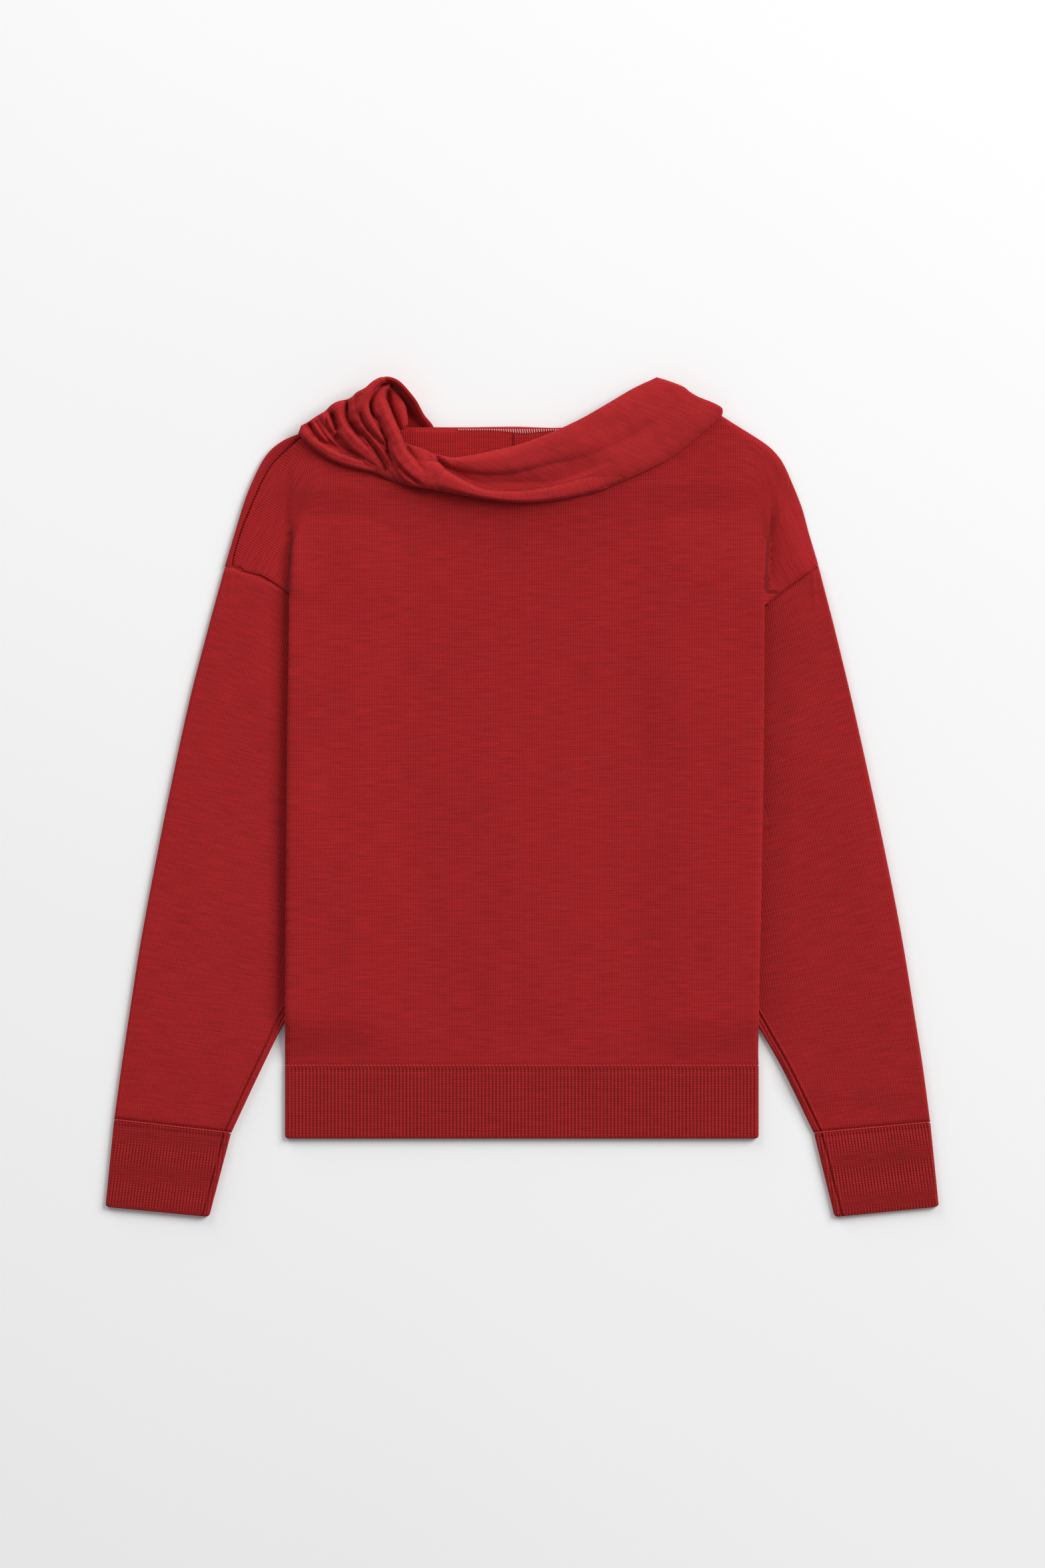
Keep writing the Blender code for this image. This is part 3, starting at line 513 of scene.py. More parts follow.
def panel(name, outline, top, bottom, cloth, look, slot, stands_for, spacing, rounding, guides=()):
    """A closed piece between two heights over an outline that runs anticlockwise.

    rounding is (radius of the upper edge, rise of the lower one). guides are lines that the faces keep to.
    """
    radius, rise = rounding
    rim = np.array(outline)
    closed = np.vstack((rim, rim[:1]))
    flat = [rim]
    for share in (0.12, 0.4, 1.0):
        ring = moved(rim, share * radius)
        flat.append(ring[inside(rim, ring) & (nearest(closed, ring)[0] > 0.85 * share * radius)])
    edges, count = [], sum(len(part) for part in flat)
    for guide in guides:
        edges += [(count + i, count + i + 1) for i in range(len(guide) - 1)]
        count += len(guide)
        flat.append(np.asarray(guide))
    low, high = rim.min(0), rim.max(0)
    row_height = spacing * math.sqrt(3) / 2
    rows = np.arange(math.ceil(low[1] / row_height), math.floor(high[1] / row_height) + 1)
    columns = np.arange(math.floor(low[0] / spacing), math.ceil(high[0] / spacing) + 1)
    grid = np.array([((c + r % 2 / 2) * spacing, r * row_height) for r in rows for c in columns])
    grid = grid[inside(rim, grid)]
    grid = grid[nearest(closed, grid)[0] > radius + 0.3 * spacing]
    for guide in guides:
        grid = grid[nearest(guide, grid)[0] > 0.45 * spacing]
    flat = np.vstack([*flat, grid])
    found = delaunay_2d_cdt([Vector(p) for p in flat], edges, [list(range(len(rim)))], 1, 1e-4)
    spots = np.array([tuple(p) for p in found[0]])
    triangles = np.array(found[2])
    a, b, c = (spots[triangles[:, i]] for i in range(3))
    turned = (b - a)[:, 0] * (c - a)[:, 1] - (b - a)[:, 1] * (c - a)[:, 0] < 0
    triangles[turned] = triangles[turned][:, ::-1]
    away = nearest(closed, spots)[0]
    edge = np.clip(away / radius, 0, 1)
    upper, lower = top(spots), bottom(spots)
    drop = np.minimum(radius, 0.75 * (upper - lower)) * (1 - np.sqrt(1 - (1 - edge) ** 2))
    lower = lower + rise * (1 - smooth(away / max(radius, 1)))
    upper = np.maximum(upper - drop, lower + 0.1)
    size = len(spots)
    points = np.vstack((np.column_stack((spots, upper)), np.column_stack((spots, lower))))
    faces = triangles.tolist() + (triangles[:, ::-1] + size).tolist()
    used = {(t[i], t[(i + 1) % 3]) for t in triangles.tolist() for i in range(3)}
    faces += [[j, i, i + size, j + size] for i, j in used if (j, i) not in used]
    return place(name, points, faces, np.vstack((cloth(spots), cloth(spots))), look, slot, stands_for)


def tube(name, sections, look, slot, stands_for, relief, step, rib_pitch=0.0, columns=None):
    """A flattened tube of knit, open at both ends.

    sections are lines across it from its outer to its inner edge, all with as many points. relief gives the
    height added to its upper side for the distances from the outer and the inner edge, x and y.
    """
    lines = np.array(sections)
    half = middle = LAYER / 2
    bends = half * (1 - np.cos(np.linspace(0, math.pi / 2, 5)))
    across = np.linspace(0, 1, columns)
    seam = np.linspace(SEAM_STRIP, bends[-1], 26)[1:]
    points, cloth = [], []
    for row, line in enumerate(lines):
        steps = np.concatenate(([0], np.cumsum(np.hypot(*(line[1:] - line[:-1]).T))))
        total = steps[-1]
        flat = bends[-1] + across * (total - seam[0] - 0.4 - bends[-1])
        where = np.concatenate((bends[:-1], flat, total - seam, total - bends[-2::-1]))
        x, y = np.interp(where, steps, line[:, 0]), np.interp(where, steps, line[:, 1])
        edge = np.minimum(where, total - where)
        swell = half * np.sqrt(np.clip(1 - (1 - np.clip(edge / half, 0, 1)) ** 2, 0, 1))
        end = min(row, len(lines) - 1 - row)
        tuck = (0.45, 0.1)[end] if end < 2 else 0.0
        raised = relief(where, total - where, x, y) * smooth(edge / 3)
        if rib_pitch:
            ribs = np.abs(np.cos(math.pi * (where - total / 2) / rib_pitch)) ** 0.7
            raised = raised + (0.75 * ribs - 0.5) * smooth(edge / 2)
        upper = np.column_stack((x, y, middle + swell - tuck + raised))
        lower = np.column_stack((x, y, middle - swell + tuck))[-2:0:-1]
        skin = 0.2
        hollow = np.clip(where, WALL, total - WALL)
        hx, hy = np.interp(hollow, steps, line[:, 0]), np.interp(hollow, steps, line[:, 1])
        closing = skin * np.clip((edge - WALL) / 1.0, 0.02, 1)
        ceiling = np.column_stack((hx, hy, middle + closing))
        ground = np.column_stack((hx, hy, middle - closing))[-2:0:-1]
        points.append(np.vstack((upper, lower, ceiling, ground)))
        flow = np.full(len(where), row * step)
        one = np.vstack((np.column_stack((where, flow)), np.column_stack((where, flow))[-2:0:-1]))
        cloth.append(np.vstack((one, one)))
    ring = len(points[0]) // 2
    total = 2 * ring
    faces = []
    i = np.arange(ring)
    j = (i + 1) % ring
    for row in range(len(lines) - 1):
        here, there = row * total, (row + 1) * total
        faces += np.stack((here + i, here + j, there + j, there + i), 1).tolist()
        faces += np.stack((here + ring + j, here + ring + i, there + ring + i, there + ring + j), 1).tolist()
    last = (len(lines) - 1) * total
    faces += np.stack((j, i, ring + i, ring + j), 1).tolist()
    faces += np.stack((last + i, last + j, last + ring + j, last + ring + i), 1).tolist()
    if lines[0, 0, 0] > lines[0, -1, 0]:
        faces = [face[::-1] for face in faces]
    return place(name, np.vstack(points), faces, np.vstack(cloth), look, slot, stands_for)


def body_outline(shoulder, neck, armhole):
    """The outline of a body panel, anticlockwise from its lower right-hand corner."""
    right, left = UNDERARM[-1], UNDERARM[1]
    runs = (
        straight([(-HALF_BODY, RIB_TOP_Y + GAP), (HALF_BODY, RIB_TOP_Y + GAP)], 3.2),
        curve([(HALF_BODY, RIB_TOP_Y + GAP), (HALF_BODY, -190), (199.1, -2.5), (200.4, 158.0)], 4),
        straight([(203.4, 160.4), *LEFT_ARMHOLE[::-1]], 3),
        curve(LEFT_SHOULDER[::-1], 3.2),
        curve(neck[::-1], 4),
        curve(shoulder[::-1], 3.2),
        straight([*armhole, (right[0] - 1.5, right[1] + 1.1)], 3),
        curve([(right[0] + 1.5, right[1] - 1.5), (-194.2, -2.5), (-HALF_BODY, -186.7),
               (-HALF_BODY, RIB_TOP_Y + GAP)], 4),
    )
    flat = np.vstack(runs)
    keep = np.hypot(*(flat - np.roll(flat, 1, axis=0)).T) > 0.05
    return flat[keep]


SIDE_LINES = (
    ((HALF_BODY, RIB_TOP_Y), (HALF_BODY, -190), (199.1, -2.5), (201.9, 158.5)),
    ((-HALF_BODY, RIB_TOP_Y), (-HALF_BODY, -186.7), (-194.2, -2.5), (-193.2, 168.0)),
)


def from_lines(p, lines):
    """The distance to the nearest of some lines."""
    return np.min([nearest(line, p)[0] for line in lines], axis=0)


def fold_lines():
    """Lines on and beside the shoulder folds, for the faces to keep to."""
    made = []
    for line in (RIGHT_FOLD, LEFT_FOLD):
        for shift in (-1.4, 0.0, 1.4):
            made.append(curve([(x + shift, y) for x, y in line[1:]], 3.0)[:-4])
    return made


def body_cloth(p):
    """Directions of the body's knit: upright wales, which turn on the shoulder caps."""
    x, y = p[:, 0], p[:, 1]
    right = x < 0
    fold = np.where(right, line_x(RIGHT_FOLD, y), line_x(LEFT_FOLD, y))
    width = 3 + 52 * smooth((y - 205) / 70)
    turned = smooth((np.abs(x) - np.abs(fold)) / width + 0.5)
    across = np.where(right, 0.53 * x + 0.85 * y - 319.8, 0.53 * x - 0.85 * y + 331.5)
    down = np.where(right, -0.85 * x + 0.53 * y, 0.85 * x + 0.53 * y)
    low = y < 168
    turned = np.where(low, 0, turned)
    return np.column_stack((x * (1 - turned) + across * turned, y * (1 - turned) + down * turned))


def make_front():
    """The front panel: its caps fall off the body along the folds, and its sides swell a little."""
    outline = body_outline(SHOULDER_SEAM, FRONT_NECK, RIGHT_ARMHOLE[-2::-1])

    def top(p):
        swells = waves(p, 120, 0.45, 3, (1, 1.6)) + waves(p, 46, 0.16, 4, (1, 2.2))
        calm = smooth((p[:, 1] - RIB_TOP_Y) / 25) * (1 - 0.7 * smooth((p[:, 1] - 250) / 20))
        x, y = p.T
        fold = line_x(LEFT_FOLD, y)
        ridge = np.interp(y, (165, 190, 200, 221, 250), (232, 229, 226, 219.5, 211))
        share = np.clip((x - fold) / (ridge - fold), 0, 1)
        bulge = (1 - (1 - share) ** 2.6) * np.exp(-((np.maximum(x - ridge, 0) / 11) ** 2))
        cap = np.where(x > fold, 4.8 * bulge - 2.0, 0)
        cap = cap * smooth((y - 166) / 30) * smooth((266 - y) / 42)
        away, inward = nearest(RIGHT_FOLD[1:], p)[0], x - line_x(RIGHT_FOLD, y)
        brim = 2.6 * np.exp(-((away / 16) ** 2)) * smooth(inward / 3) * (x < 0)
        brim = brim * smooth((y - 150) / 20) * smooth((245 - y) / 55)
        dip = -1.9 * np.exp(-((away / 13.0) ** 2)) * (x < -191) * smooth((y - 166) / 6)
        to_side = from_lines(p, SIDE_LINES)
        full = np.where(p[:, 0] < 0, 2.2 + 1.6 * smooth((60 - p[:, 1]) / 120), 1.4)
        full = full * np.exp(-((to_side / 28) ** 2)) * smooth((p[:, 1] - RIB_TOP_Y) / 50)
        edge = np.clip(np.minimum(to_side, nearest(LEFT_SHOULDER, p)[0]) / SIDE_ROUND, 0, 1)
        side = -SIDE_DROP * (1 - np.sqrt(1 - (1 - edge) ** 2))
        return lift(p) + LAYER + swells * calm + cap + dip + side + full + brim

    def bottom(p):
        to_side = from_lines(p, (*SIDE_LINES, LEFT_SHOULDER))
        return lift(p) + WALL + 0.15 - (WALL - 0.25) * (1 - smooth((to_side - 0.6) / 1.4))

    return panel(
        "front_panel", outline, top, bottom, body_cloth, BODY_KNIT, "body_knit", ["front"], 3.4, (1.2, 0.0),
        fold_lines()
    )


def make_back():
    """The back panel, which comes round to the front along the right shoulder as far as the seam."""
    outline = body_outline(BACK_SHOULDER, BACK_NECK, RIGHT_ARMHOLE[::-1])
    tucked = from_lines(outline, (*SIDE_LINES, LEFT_SHOULDER)) < 0.6
    outline = np.where(tucked[:, None], moved(outline, BACK_TUCK), outline)
    seam = np.vstack(([(-240.0, 184.0)], curve(SHOULDER_SEAM, 3.2), [(-175.0, 303.0)]))
    foot, head = moved(seam, 0.5)[1:-1], moved(seam, 0.9)[1:-1]
    edge = neck_edge()

    def top(p):
        away, _, side = nearest(seam, p)
        wrapped = (side > 0) & (away > 0.7) & (p[:, 0] < -170)
        lip = nearest(edge, p)[0]
        roll = 1.3 * np.exp(-(((lip - 1.4) / 1.0) ** 2)) * ((p[:, 0] > -150) & (p[:, 0] < 160))
        return lift(p) + np.where(wrapped, LAYER, WALL) + roll

    def cloth(p):
        away, along, side = nearest(seam, p)
        strip = (side > 0) & (p[:, 0] < -170)
        return np.column_stack((np.where(strip, along, p[:, 0]), np.where(strip, away, p[:, 1])))

    return panel(
        "back_panel", outline, top, lift, cloth, BODY_KNIT, "body_knit", ["back"], 6.0, (1.6, 1.3),
        [foot, head]
    )


def sleeve_sections(head, stations, step):
    """Lines across a sleeve, from its curved head to its cuff."""
    outer = curve([s[0] for s in stations], step)
    inner = curve([s[1] for s in stations], step)
    outer_share = np.linspace(0, 1, len(outer))
    inner_share = np.linspace(0, 1, len(inner))
    rows = np.linspace(0, 1, round(math.dist(stations[0][0], stations[-1][0]) / step))
    across = np.linspace(0, 1, 33)
    first = np.array(head, float)
    lengths = np.concatenate(([0], np.cumsum(np.hypot(*(first[1:] - first[:-1]).T))))
    lengths /= lengths[-1]
    first = np.column_stack([np.interp(across, lengths, first[:, i]) for i in (0, 1)])
    made = []
    for row in rows:
        a = [np.interp(row, outer_share, outer[:, i]) for i in (0, 1)]
        b = [np.interp(row, inner_share, inner[:, i]) for i in (0, 1)]
        made.append(np.column_stack([a[i] + (b[i] - a[i]) * across for i in (0, 1)]))
    second = made[0]
    lead = [first + (second - first) * t for t in np.linspace(0, 1, 13)[:-1]]
    return lead + made


def underarm_seam(from_inner):
    """A flat seam beside the inner edge: a groove between two low ridges."""
    d = from_inner - UNDERARM_SEAM_INSET
    return 0.5 * np.exp(-((np.abs(d) - 1.9) ** 2) / 0.8) - 1.5 * np.exp(-(d**2) / 0.7)


def make_sleeves():
    """The two sleeves, with a pleat at the head and a soft valley beside the body."""
    for name, head, stations, node, look, seed in (
        ("right_sleeve", RIGHT_HEAD, RIGHT_SLEEVE, "sleeve_right", RIGHT_SLEEVE_KNIT, 11),
        ("left_sleeve", LEFT_HEAD, LEFT_SLEEVE, "sleeve_left", LEFT_SLEEVE_KNIT, 12),
    ):
        sections = sleeve_sections(head, stations, 4.0)

        def relief(outer, inner, x, y, seed=seed):
            p = np.column_stack((outer, y))
            calm = smooth((y + 262) / 20)
            soft = waves(p, 90, 0.4, seed, (1, 1.8)) * calm
            from_body = np.maximum(0, np.abs(x) - np.interp(y, (-190, -2.5, 160), (195.5, 197, 201)))
            under_seam = calm * smooth((168 - y) / 30)
            if seed == 12:
                soft = soft + under_seam * (3.0 * smooth(from_body / 30) - 1.5 - 0.9 * smooth(1 - outer / 26))
            else:
                soft = soft - under_seam * 1.7 * np.exp(-((from_body / 12) ** 2))
            pleat = 0.9 * np.exp(-(((outer - 5.5 - (190 - y) * 0.2) / 1.6) ** 2)) * smooth((y - 150) / 25)
            return soft + underarm_seam(inner) + (pleat if seed == 12 else 0.5 * pleat)

        tube(name, sections, look, "body_knit", [node], relief, 4.0, columns=96)


def rib_rows(first, last, count):
    """Lines between two edges, closer together near the ends."""
    t = np.linspace(0, 1, count)
    t = np.concatenate(([0, 0.012], t[1:-1], [0.97, 0.98, 0.99, 0.996, 1]))
    across = np.array((0.0, 1.0))[:, None]
    rows = []
    for share in t:
        a = np.array(first[0]) + (np.array(last[0]) - first[0]) * share
        b = np.array(first[1]) + (np.array(last[1]) - first[1]) * share
        rows.append(a + (b - a) * across)
    return rows


def rounded_end(rows):
    """The rows with the two corners at the free end rounded off."""
    made = []
    last = rows[-1]
    for line in rows:
        rise = max(0.0, RIB_CORNER - math.dist(line[0], last[0])) / RIB_CORNER
        inset = RIB_CORNER * (1 - math.sqrt(max(0.0, 1 - rise**2)))
        across = (line[-1] - line[0]) / math.dist(line[0], line[-1])
        made.append(line + np.outer(np.linspace(1, -1, len(line)), across) * inset)
    return made


def linking_row(below):
    """The raised row of loops where a rib is linked on, with a groove below it; its pale look is a highlight
    painted into the linked rows' colour.
    """
    return 0.4 * np.exp(-((below - 1.0) ** 2) / 0.6) - 0.7 * np.exp(-((below - 3.0) ** 2) / 0.9)


def make_ribs():
    """The two cuffs and the hem."""
    for name, ends, node in (
        ("right_cuff", RIGHT_CUFF, "cuff_right"),
        ("left_cuff", LEFT_CUFF, "cuff_left"),
    ):
        top_y = (ends[0][0][1], ends[0][1][1])

        def relief(outer, inner, x, y, top_y=top_y):
            head = top_y[0] + (top_y[1] - top_y[0]) * outer / (outer + inner)
            return linking_row(head - y) + underarm_seam(inner) * 0.8

        rows = rounded_end(rib_rows(*ends, 28))
        tube(name, rows, CUFF_KNIT, "rib_knit", [node], relief, 2.5, CUFF_RIB_PITCH, 300)
    hem = [((-HALF_BODY, y), (HALF_BODY, y)) for y in (RIB_TOP_Y, HEM_Y)]
    tube(
        "hem_band", rounded_end(rib_rows(*hem, 22)), RIB_KNIT, "rib_knit", ["hem_rib"],
        lambda outer, inner, x, y: linking_row(RIB_TOP_Y - y), 2.8, HEM_RIB_PITCH, 850
    )


def make_neck_band():
    """The ribbed band inside the back neck, with its ribs upright."""
    base = STEP + WALL + GAP
    x = np.linspace(-118, 88, 900)
    upper = np.interp(x, (-118, -45.7, 38.5, 88), (303.0, 303.6, 303.6, 303.5))
    lower = np.interp(x, (-118, -98, 66, 88), (281, 271, 271, 281))
    rows = []
    for share in np.linspace(0, 1, 12):
        y = lower + (upper - lower) * share
        edge = 0.5 * smooth((share - 0.93) / 0.07)
        z = base + 1.35 + 0.3 * np.cos(math.tau * x / NECK_RIB_PITCH) - edge
        rows.append(np.column_stack((x, y, z)))
    for share in (1.0, 0.0):
        rows.append(np.column_stack((x, lower + (upper - lower) * share, np.full(len(x), base))))
    points = np.vstack(rows)
    width, count = len(x), len(rows)
    i = np.arange(width - 1)
    faces = []
    for r in range(count):
        a, b = r * width, (r + 1) % count * width
        faces += np.stack((a + i, a + i + 1, b + i + 1, b + i), 1).tolist()
    faces += [[r * width for r in range(count)], [r * width + width - 1 for r in reversed(range(count))]]
    place("neck_band", points, faces, points[:, :2], NECK_KNIT, "rib_knit", ["neck_rib"])


def roll_height(roll, p, base, sides, reach):
    """Height, distance across and length along a rounded roll, swept along its stations.

    sides says how square it is to its left and to its right, and reach how far its right side goes.
    """
    line = curve(roll, 1.6)
    away, along, side = nearest(line[:, :2], p)
    lengths = np.concatenate(([0], np.cumsum(np.hypot(*(line[1:, :2] - line[:-1, :2]).T))))
    half, crest = (np.interp(along, lengths, line[:, k]) for k in (2, 3))
    left = side > 0
    half = np.where(left, half, np.minimum(away + reach, 1.25 * half))
    t = np.clip(away / half, 0, 1)
    height = base + (crest - base) * (1 - t ** np.where(left, *sides)) ** 0.55
    return np.where(away < half, height, base), side * away, along


def collar_surface(p):
    """The collar's upper side and the directions of its knit."""
    base = on_body(p)
    height = base + 2.4
    cloth = np.column_stack((0.91 * p[:, 0] - 0.41 * p[:, 1], 0.41 * p[:, 0] + 0.91 * p[:, 1]))
    to_rim = nearest(curve(COLLAR_LOWER, 2.0), p)[0]
    middle = np.exp(-(((p[:, 0] + 5) / 48) ** 2))
    to_right = smooth((p[:, 0] - 35) / 40)
    rolls = {**{k: TWIST_ROLLS[k] for k in ("core", "hollow")}, **FRONT_ROLLS}
    rolls.update({k: r for k, r in TWIST_ROLLS.items() if k not in rolls})
    squareness = {
        "A": (2.6, 4.5),
        "B": (2.2, 2.2),
        "D": (2.4, 3.2),
        "E": (2.4, 3.0),
        "F": (3.4, 2.2),
        "G": (3.2, 3.4),
        "band": (2.2, 2.2 + 2.2 * to_right),
        "upper": (2.2, 2.2 + 2.2 * middle),
        "lower": (2.2 + 2.0 * middle, 2.4 + 3.4 * middle),
    }
    for key, stations in rolls.items():
        reach = to_rim if key in ("A", "lower") else 1e3
        if key == "band":
            reach = to_rim + 60 * (1 - to_right)
        raised, across, along = roll_height(stations, p, base, squareness.get(key, (2.2, 2.2)), reach)
        wins = raised > height
        height = np.where(wins, raised, height)
        if key not in ("upper", "band", "core", "hollow"):
            cloth[wins] = np.column_stack((across, along))[wins]
    for depth, left, right, run_out, line in CREASES:
        away, along, side = nearest(curve(line, 2.0), p)
        fade = smooth(along / 4 + 0.25) * smooth((along.max() - along) / run_out)
        height = height - depth * fade * np.exp(-((away / np.where(side > 0, left, right)) ** 2))
    twist = smooth((-60 - p[:, 0]) / 30)
    height = height + twist * (waves(cloth, 6, 0.3, 21, (1, 5)) + waves(p, 11, 0.22, 22))
    height = height + (1 - twist) * (waves(p, 42, 0.5, 23, (1.8, 1)) + waves(p, 15, 0.14, 24))
    return np.maximum(height, base + 2.0), cloth


def make_collar():
    """The draped band and its twist, one sheet thrown over in rolls."""
    first, *others = (curve(line, 1.4) for line in (COLLAR_LOWER, COLLAR_END, COLLAR_UPPER, TWIST_UPPER))
    outline = np.vstack((first, others[0], others[1][1:], others[2]))
    keep = np.hypot(*(outline - np.roll(outline, 1, axis=0)).T) > 0.1
    outline = outline[keep]
    edge = neck_edge()

    def top(p):
        return collar_surface(p)[0]

    def bottom(p):
        away, _, side = nearest(edge, p)
        beyond = smooth((away * side - 1.2) / 1.6)
        over_loop = nearest(curve(LOOP_INNER, 2), p)[0] < 9
        floor = np.where(p[:, 0] < 0, np.where(over_loop, 3.8, 0.3), STEP + 0.2)
        rest = on_body(p) * (1 - beyond) + floor * beyond
        return np.maximum(rest, collar_surface(p)[0] - COLLAR_CLOTH)

    panel(
        "draped_collar", outline, top, bottom, lambda p: collar_surface(p)[1], COLLAR_KNIT, "collar_knit",
        ["collar_front", "collar_twist"], 1.25, (2.0, 0.0)
    )


def make_collar_loop():
    """The loop that goes round to the back: its rim leans outwards and its inner face shows."""
    outer = curve(LOOP_OUTER, 1.5)
    leans = (0.2, 0.5, 0.7, 0.9, 1, 1)
    inner = [(x - LOOP_UNDER * k, y - LOOP_UNDER * (1 - k)) for (x, y), k in zip(LOOP_INNER, leans)]
    outline = np.vstack((outer, curve(inner, 1.5)))

    def top(p):
        away, along, _ = nearest(outer, p)
        rim = 3.9 + 5.5 * smooth((along - 3) / 9) + 13.0 * smooth((along - 8) / 42)
        fall = smooth((away - 2.2) / 6.5)
        return rim * (1 - fall) + 3.4 * fall

    return panel(
        "collar_loop_cloth", outline, top, lambda p: np.maximum(0.2, top(p) - COLLAR_CLOTH), lambda p: p,
        SHADED_LOOP_KNIT, "collar_knit", ["collar_loop"], 1.2, (2.4, 0.0)
    )


def make_collar_back():
    """The collar's back, folded down under the body: two layers drawn as one."""
    outline = straight([*COLLAR_BACK, COLLAR_BACK[0]], 4)[:-1]
    return panel(
        "collar_underfold", outline, lambda p: np.full(len(p), LAYER), lambda p: np.zeros(len(p)),
        lambda p: p, COLLAR_KNIT, "collar_knit", ["collar_back"], 8.0, (1.8, 1.4)
    )


def stitches(name, spots, look, slot):
    """Short rounded threads: each spot is (x, y, z, direction, length, width)."""
    points, faces = [], []
    ring = [(math.cos(a), math.sin(a)) for a in np.linspace(0, math.tau, 7)[:-1]]
    for x, y, z, turn, length, width in spots:
        start = len(points)
        for share, size in ((-0.5, 0.35), (-0.3, 0.95), (0.3, 0.95), (0.5, 0.35)):
            for side, up in ring:
                along, across = share * length, side * size * width / 2
                points.append((
                    x + along * math.cos(turn) - across * math.sin(turn),
                    y + along * math.sin(turn) + across * math.cos(turn),
                    z + up * size * width / 2,
                ))
        for s in range(3):
            a = start + s * 6
            faces += [[a + i, a + (i + 1) % 6, a + 6 + (i + 1) % 6, a + 6 + i] for i in range(6)]
        faces += [[start + i for i in reversed(range(6))], [start + 18 + i for i in range(6)]]
    points = np.array(points)
    return place(name, points, faces, points[:, :2], look, slot)


def roll(name, line, look, slot, radius, pitch, wobble=0.28):
    """A seam or a linked row: a thin roll whose loops swell at the pitch."""
    line = np.asarray(line, float)
    lengths = np.concatenate(([0], np.cumsum(np.linalg.norm(line[1:] - line[:-1], axis=1))))
    where = np.arange(0, lengths[-1], pitch / 5)
    spine = np.column_stack([np.interp(where, lengths, line[:, i]) for i in range(3)])
    ahead = np.gradient(spine, axis=0)
    ahead /= np.linalg.norm(ahead, axis=1)[:, None]
    across = np.cross((0, 0, 1), ahead)
    across /= np.linalg.norm(across, axis=1)[:, None]
    size = radius * (1 - wobble + wobble * np.abs(np.sin(math.pi * where / pitch)))
    turns = np.linspace(0, math.tau, 9)[:-1]
    points = np.concatenate([
        spine[:, None] + size[:, None, None] * (
            across[:, None] * np.cos(turns)[:, None] + np.array((0, 0, 1.0)) * np.sin(turns)[:, None]
        )
    ]).reshape(-1, 3)
    i = np.arange(8)
    j = (i + 1) % 8
    faces = []
    for row in range(len(where) - 1):
        here, there = row * 8, row * 8 + 8
        faces += np.stack((here + i, here + j, there + j, there + i), 1).tolist()
    faces += [list(range(8))[::-1], [len(points) - 8 + k for k in range(8)]]
    cloth = np.column_stack((np.repeat(where, 8), np.tile(turns, len(where))))
    return place(name, points, faces, cloth, look, slot)


def raised(line, height):
    """A line at one height."""
    line = np.asarray(line, float)
    return np.column_stack((line[:, :2], np.full(len(line), height)))


def make_joins():
    """Linked seams that lie in the joins between the pieces."""
    for name, line in (
        ("right", ((-244.3, 189.9), *RIGHT_ARMHOLE[::-1], (-193.0, 168.6))),
        ("left", ((244.0, 191.2), *LEFT_ARMHOLE, (202.6, 158.6))),
    ):
        line = raised(straight(line, 2), LAYER - 1.25)
        roll(f"{name}_armhole_seam", line, BODY_KNIT, "body_knit", 1.15, WALE)
    for name, ends in (("right", RIGHT_CUFF), ("left", LEFT_CUFF)):
        outer, inner = (np.array(e) + (0, 0.5) for e in ends[0])
        line = [outer + (inner - outer) * t for t in (0.012, 0.5, 0.988)]
        line = raised(line, LAYER - 0.55)
        roll(f"{name}_cuff_linking", line, HIGHLIGHTED_LINKED_KNIT, "rib_knit", 1.0, CUFF_RIB_PITCH)
    y = RIB_TOP_Y + GAP / 2
    line = [(x, y) for x in (1.2 - HALF_BODY, 0, HALF_BODY - 1.2)]
    roll("hem_linking", raised(line, LAYER - 0.55), HIGHLIGHTED_LINKED_KNIT, "rib_knit", 1.0, HEM_RIB_PITCH)


def make_stitching():
    """The sewn shoulder seam, the pale loops along the back neck and the join of its band."""
    seam = curve(SHOULDER_SEAM, 2.4)
    height = lift(seam) + LAYER - 0.4
    holes = []
    for (x, y), z, after in zip(seam[1:-1], height[1:-1], seam[2:]):
        turn = math.atan2(after[1] - y, after[0] - x)
        holes.append((x, y, z, turn + 0.35, 1.9, 1.0))
    stitches("shoulder_seam_stitches", holes, SEAM_YARN, "body_knit")
    loops = []
    for x in np.arange(-52, 36, NECK_RIB_PITCH):
        size = 1.5 + 2.6 * math.exp(-(((x - 2) / 17) ** 2))
        loops.append((x, 303.6 - size / 2, STEP + WALL + GAP + 1.8, math.pi / 2 + 0.2, size, 0.95))
    stitches("neck_linking", loops, LINKING, "rib_knit")
    mark = [(-7.0, 298.5 - 2.2 * k, STEP + WALL + GAP + 1.7, math.pi / 2, 2.4, 1.1) for k in range(4)]
    stitches("neck_band_join", mark, SEAM_YARN, "rib_knit")


def flat_area(outline):
    """The area in square metres of a flat outline in millimetres."""
    x, y = np.asarray(outline, float).T
    return abs(x @ np.roll(y, -1) - y @ np.roll(x, -1)) / 2 * MM**2


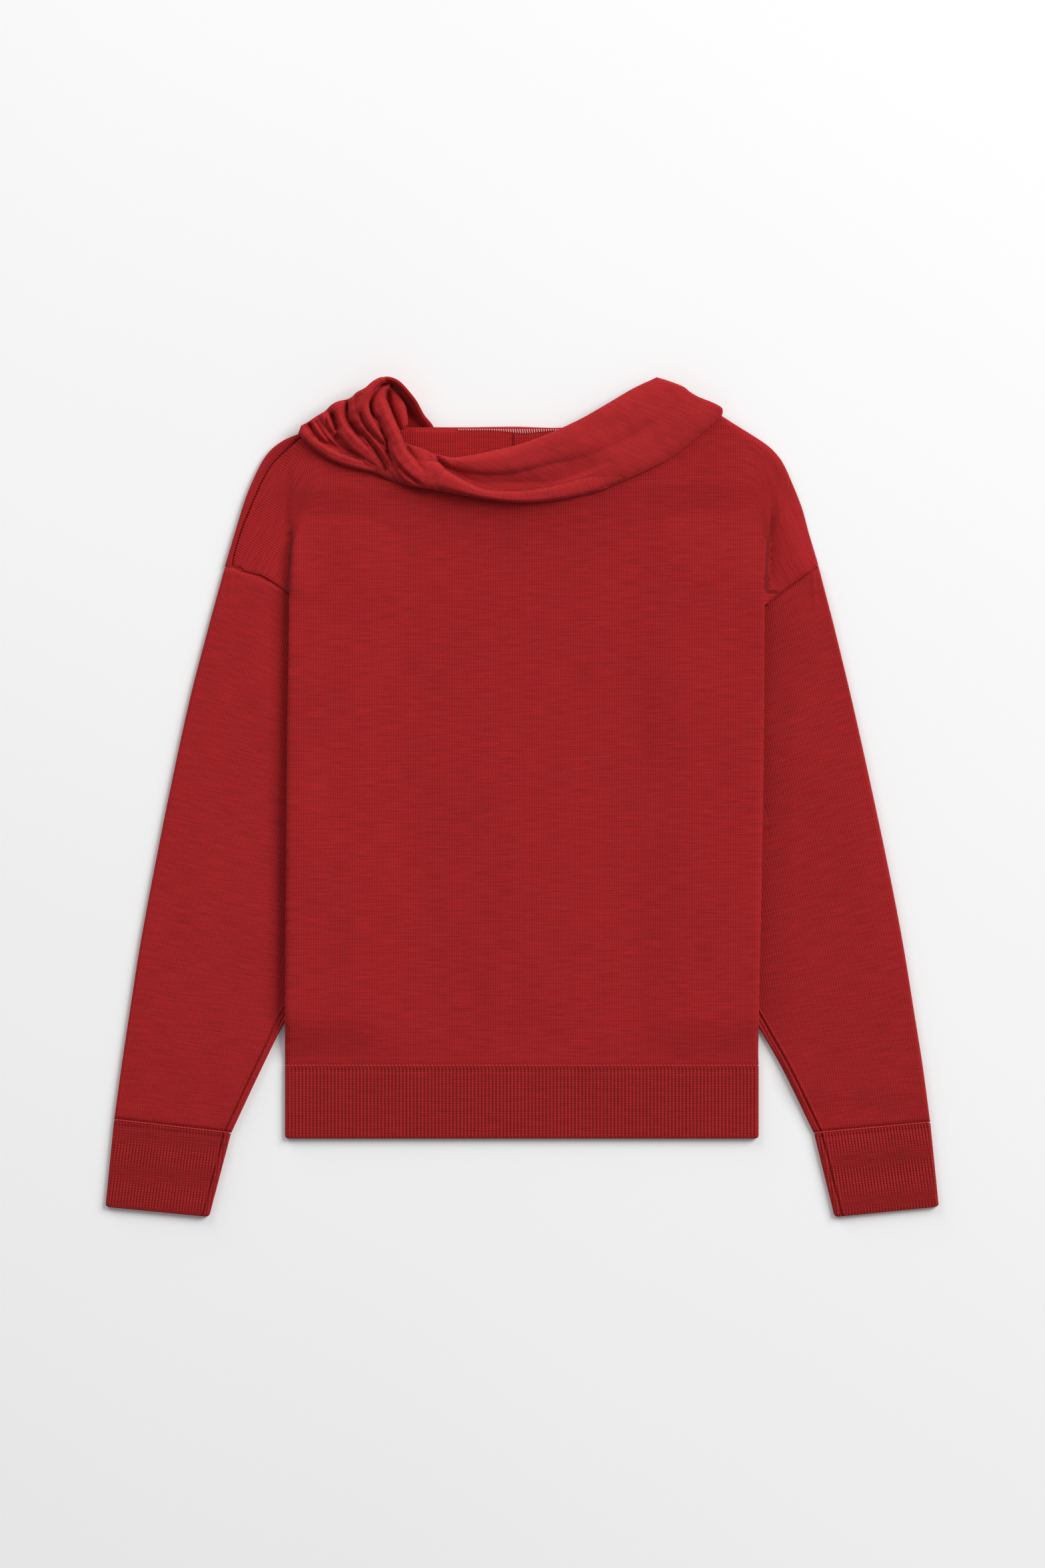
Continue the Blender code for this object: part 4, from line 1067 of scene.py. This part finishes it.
def declare_cloth():
    """Each sheet with its flat size: what shows of it, and all round on a tube.

    The collar's and its loop's are the sizes of the sheets as they are drawn, not of a cut.
    """
    front = body_outline(SHOULDER_SEAM, FRONT_NECK, RIGHT_ARMHOLE[-2::-1])
    back = body_outline(BACK_SHOULDER, BACK_NECK, RIGHT_ARMHOLE[::-1])
    under = ["right_sleeve", "left_sleeve", "collar_underfold", "floor"]
    seams = ["right_armhole_seam", "left_armhole_seam", "shoulder_seam_stitches"]
    sheets = [
        ("front_panel", (0.490, 0.540), "laid", ["back_panel"], flat_area(front), seams),
        ("back_panel", (0.492, 0.540), "laid", under, flat_area(back), ()),
        ("hem_band", (0.782, 0.060), "laid", ["floor"], None, ["hem_linking"]),
        ("neck_band", (0.206, 0.0325), "laid", ["back_panel"], 0.0065, ["neck_linking", "neck_band_join"]),
        ("draped_collar", (0.350, 0.095), "draped", ["front_panel", "back_panel"], 0.0235, ()),
        ("collar_loop_cloth", (0.072, 0.034), "draped", ["floor"], 0.0013, ()),
        ("collar_underfold", (0.290, 0.108), "folded", ["floor"], flat_area(COLLAR_BACK), ()),
    ]
    for side, head, stations, cuff in (
        ("right", RIGHT_HEAD, RIGHT_SLEEVE, RIGHT_CUFF),
        ("left", LEFT_HEAD, LEFT_SLEEVE, LEFT_CUFF),
    ):
        outline = [*head, *(s[1] for s in stations), *(s[0] for s in reversed(stations))]
        sheets.append((f"{side}_sleeve", (0.300, 0.500), "laid", ["floor"], 2 * flat_area(outline), ()))
        outline = [*cuff[0], *cuff[1][::-1]]
        linked = [f"{side}_cuff_linking"]
        sheets.append((f"{side}_cuff", (0.196, 0.0725), "laid", ["floor"], 2 * flat_area(outline), linked))
    for name, flat, held, rests_on, area, extra in sheets:
        extra = [PIECES[key] for key in extra]
        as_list(rests_on)
        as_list(extra)


make_sleeves()
make_ribs()
make_back()
make_front()
make_neck_band()
make_collar_back()
make_collar_loop()
make_collar()
make_joins()
make_stitching()
declare_cloth()


# Floor, light and camera

FRAME_LONG = 2352 * 0.55
CAMERA_X, CAMERA_Y = 0.55, 10.7
LENS = 200.0
SENSOR = 36.0


def make_floor():
    """A large sheet of white paper."""
    mesh = bpy.data.meshes.new("floor")
    corners = [(-4.0, -4.0, 0), (4.0, -4.0, 0), (4.0, 4.0, 0), (-4.0, 4.0, 0)]
    mesh.from_pydata(corners, [], [(0, 1, 2, 3)])
    floor = bpy.data.objects.new("floor", mesh)
    floor.location.z = -0.0003
    bpy.context.scene.collection.objects.link(floor)
    paper = bpy.data.materials.new("white paper")
    paper.use_nodes = True
    start = Wire(paper.node_tree)
    where = start.node("ShaderNodeTexCoord", {}, {}, 3)
    cloudy = start.node("ShaderNodeTexNoise", {}, {"Vector": where, "Scale": 2.0, "Detail": 1.0})
    low, high = ((grey, grey, grey, 1) for grey in (0.93, 0.95))
    tone = start.node("ShaderNodeMix", {"data_type": "RGBA"}, {0: cloudy, 6: low, 7: high}, 2)
    shader = paper.node_tree.nodes["Principled BSDF"]
    paper.node_tree.links.new(tone.socket, shader.inputs["Base Color"])
    shader.inputs["Roughness"].default_value = 1.0
    shader.inputs["Specular IOR Level"].default_value = 0.0
    mesh.materials.append(paper)


def softbox(name, spot, size, power):
    """A square light of size metres, turned to the garment."""
    light = bpy.data.lights.new(name, "AREA")
    light.shape = "SQUARE"
    light.size = size
    light.energy = power
    thing = bpy.data.objects.new(name, light)
    thing.location = spot
    thing.rotation_euler = (-Vector(spot)).to_track_quat("-Z", "Y").to_euler()
    bpy.context.scene.collection.objects.link(thing)


def make_studio():
    """Soft light from the upper right, a weaker one from the upper left, and the camera straight above."""
    scene = bpy.context.scene
    scene.view_settings.view_transform = "Standard"
    world = bpy.data.worlds.new("studio")
    world.use_nodes = True
    world.node_tree.nodes["Background"].inputs["Color"].default_value = (1.0, 1.0, 1.0, 1.0)
    world.node_tree.nodes["Background"].inputs["Strength"].default_value = 0.29
    scene.world = world
    softbox("key", (5.3, 3.9, 4.6), 4.8, 645)
    softbox("fill", (-3.2, 4.6, 2.0), 3.6, 165)
    camera = bpy.data.cameras.new("camera")
    camera.lens = LENS
    camera.sensor_width = SENSOR
    camera.clip_end = 40.0
    thing = bpy.data.objects.new("camera", camera)
    thing.location = (CAMERA_X * MM, CAMERA_Y * MM, FRAME_LONG * MM * LENS / SENSOR + 6 * MM)
    scene.collection.objects.link(thing)
    scene.camera = thing


make_floor()
make_studio()
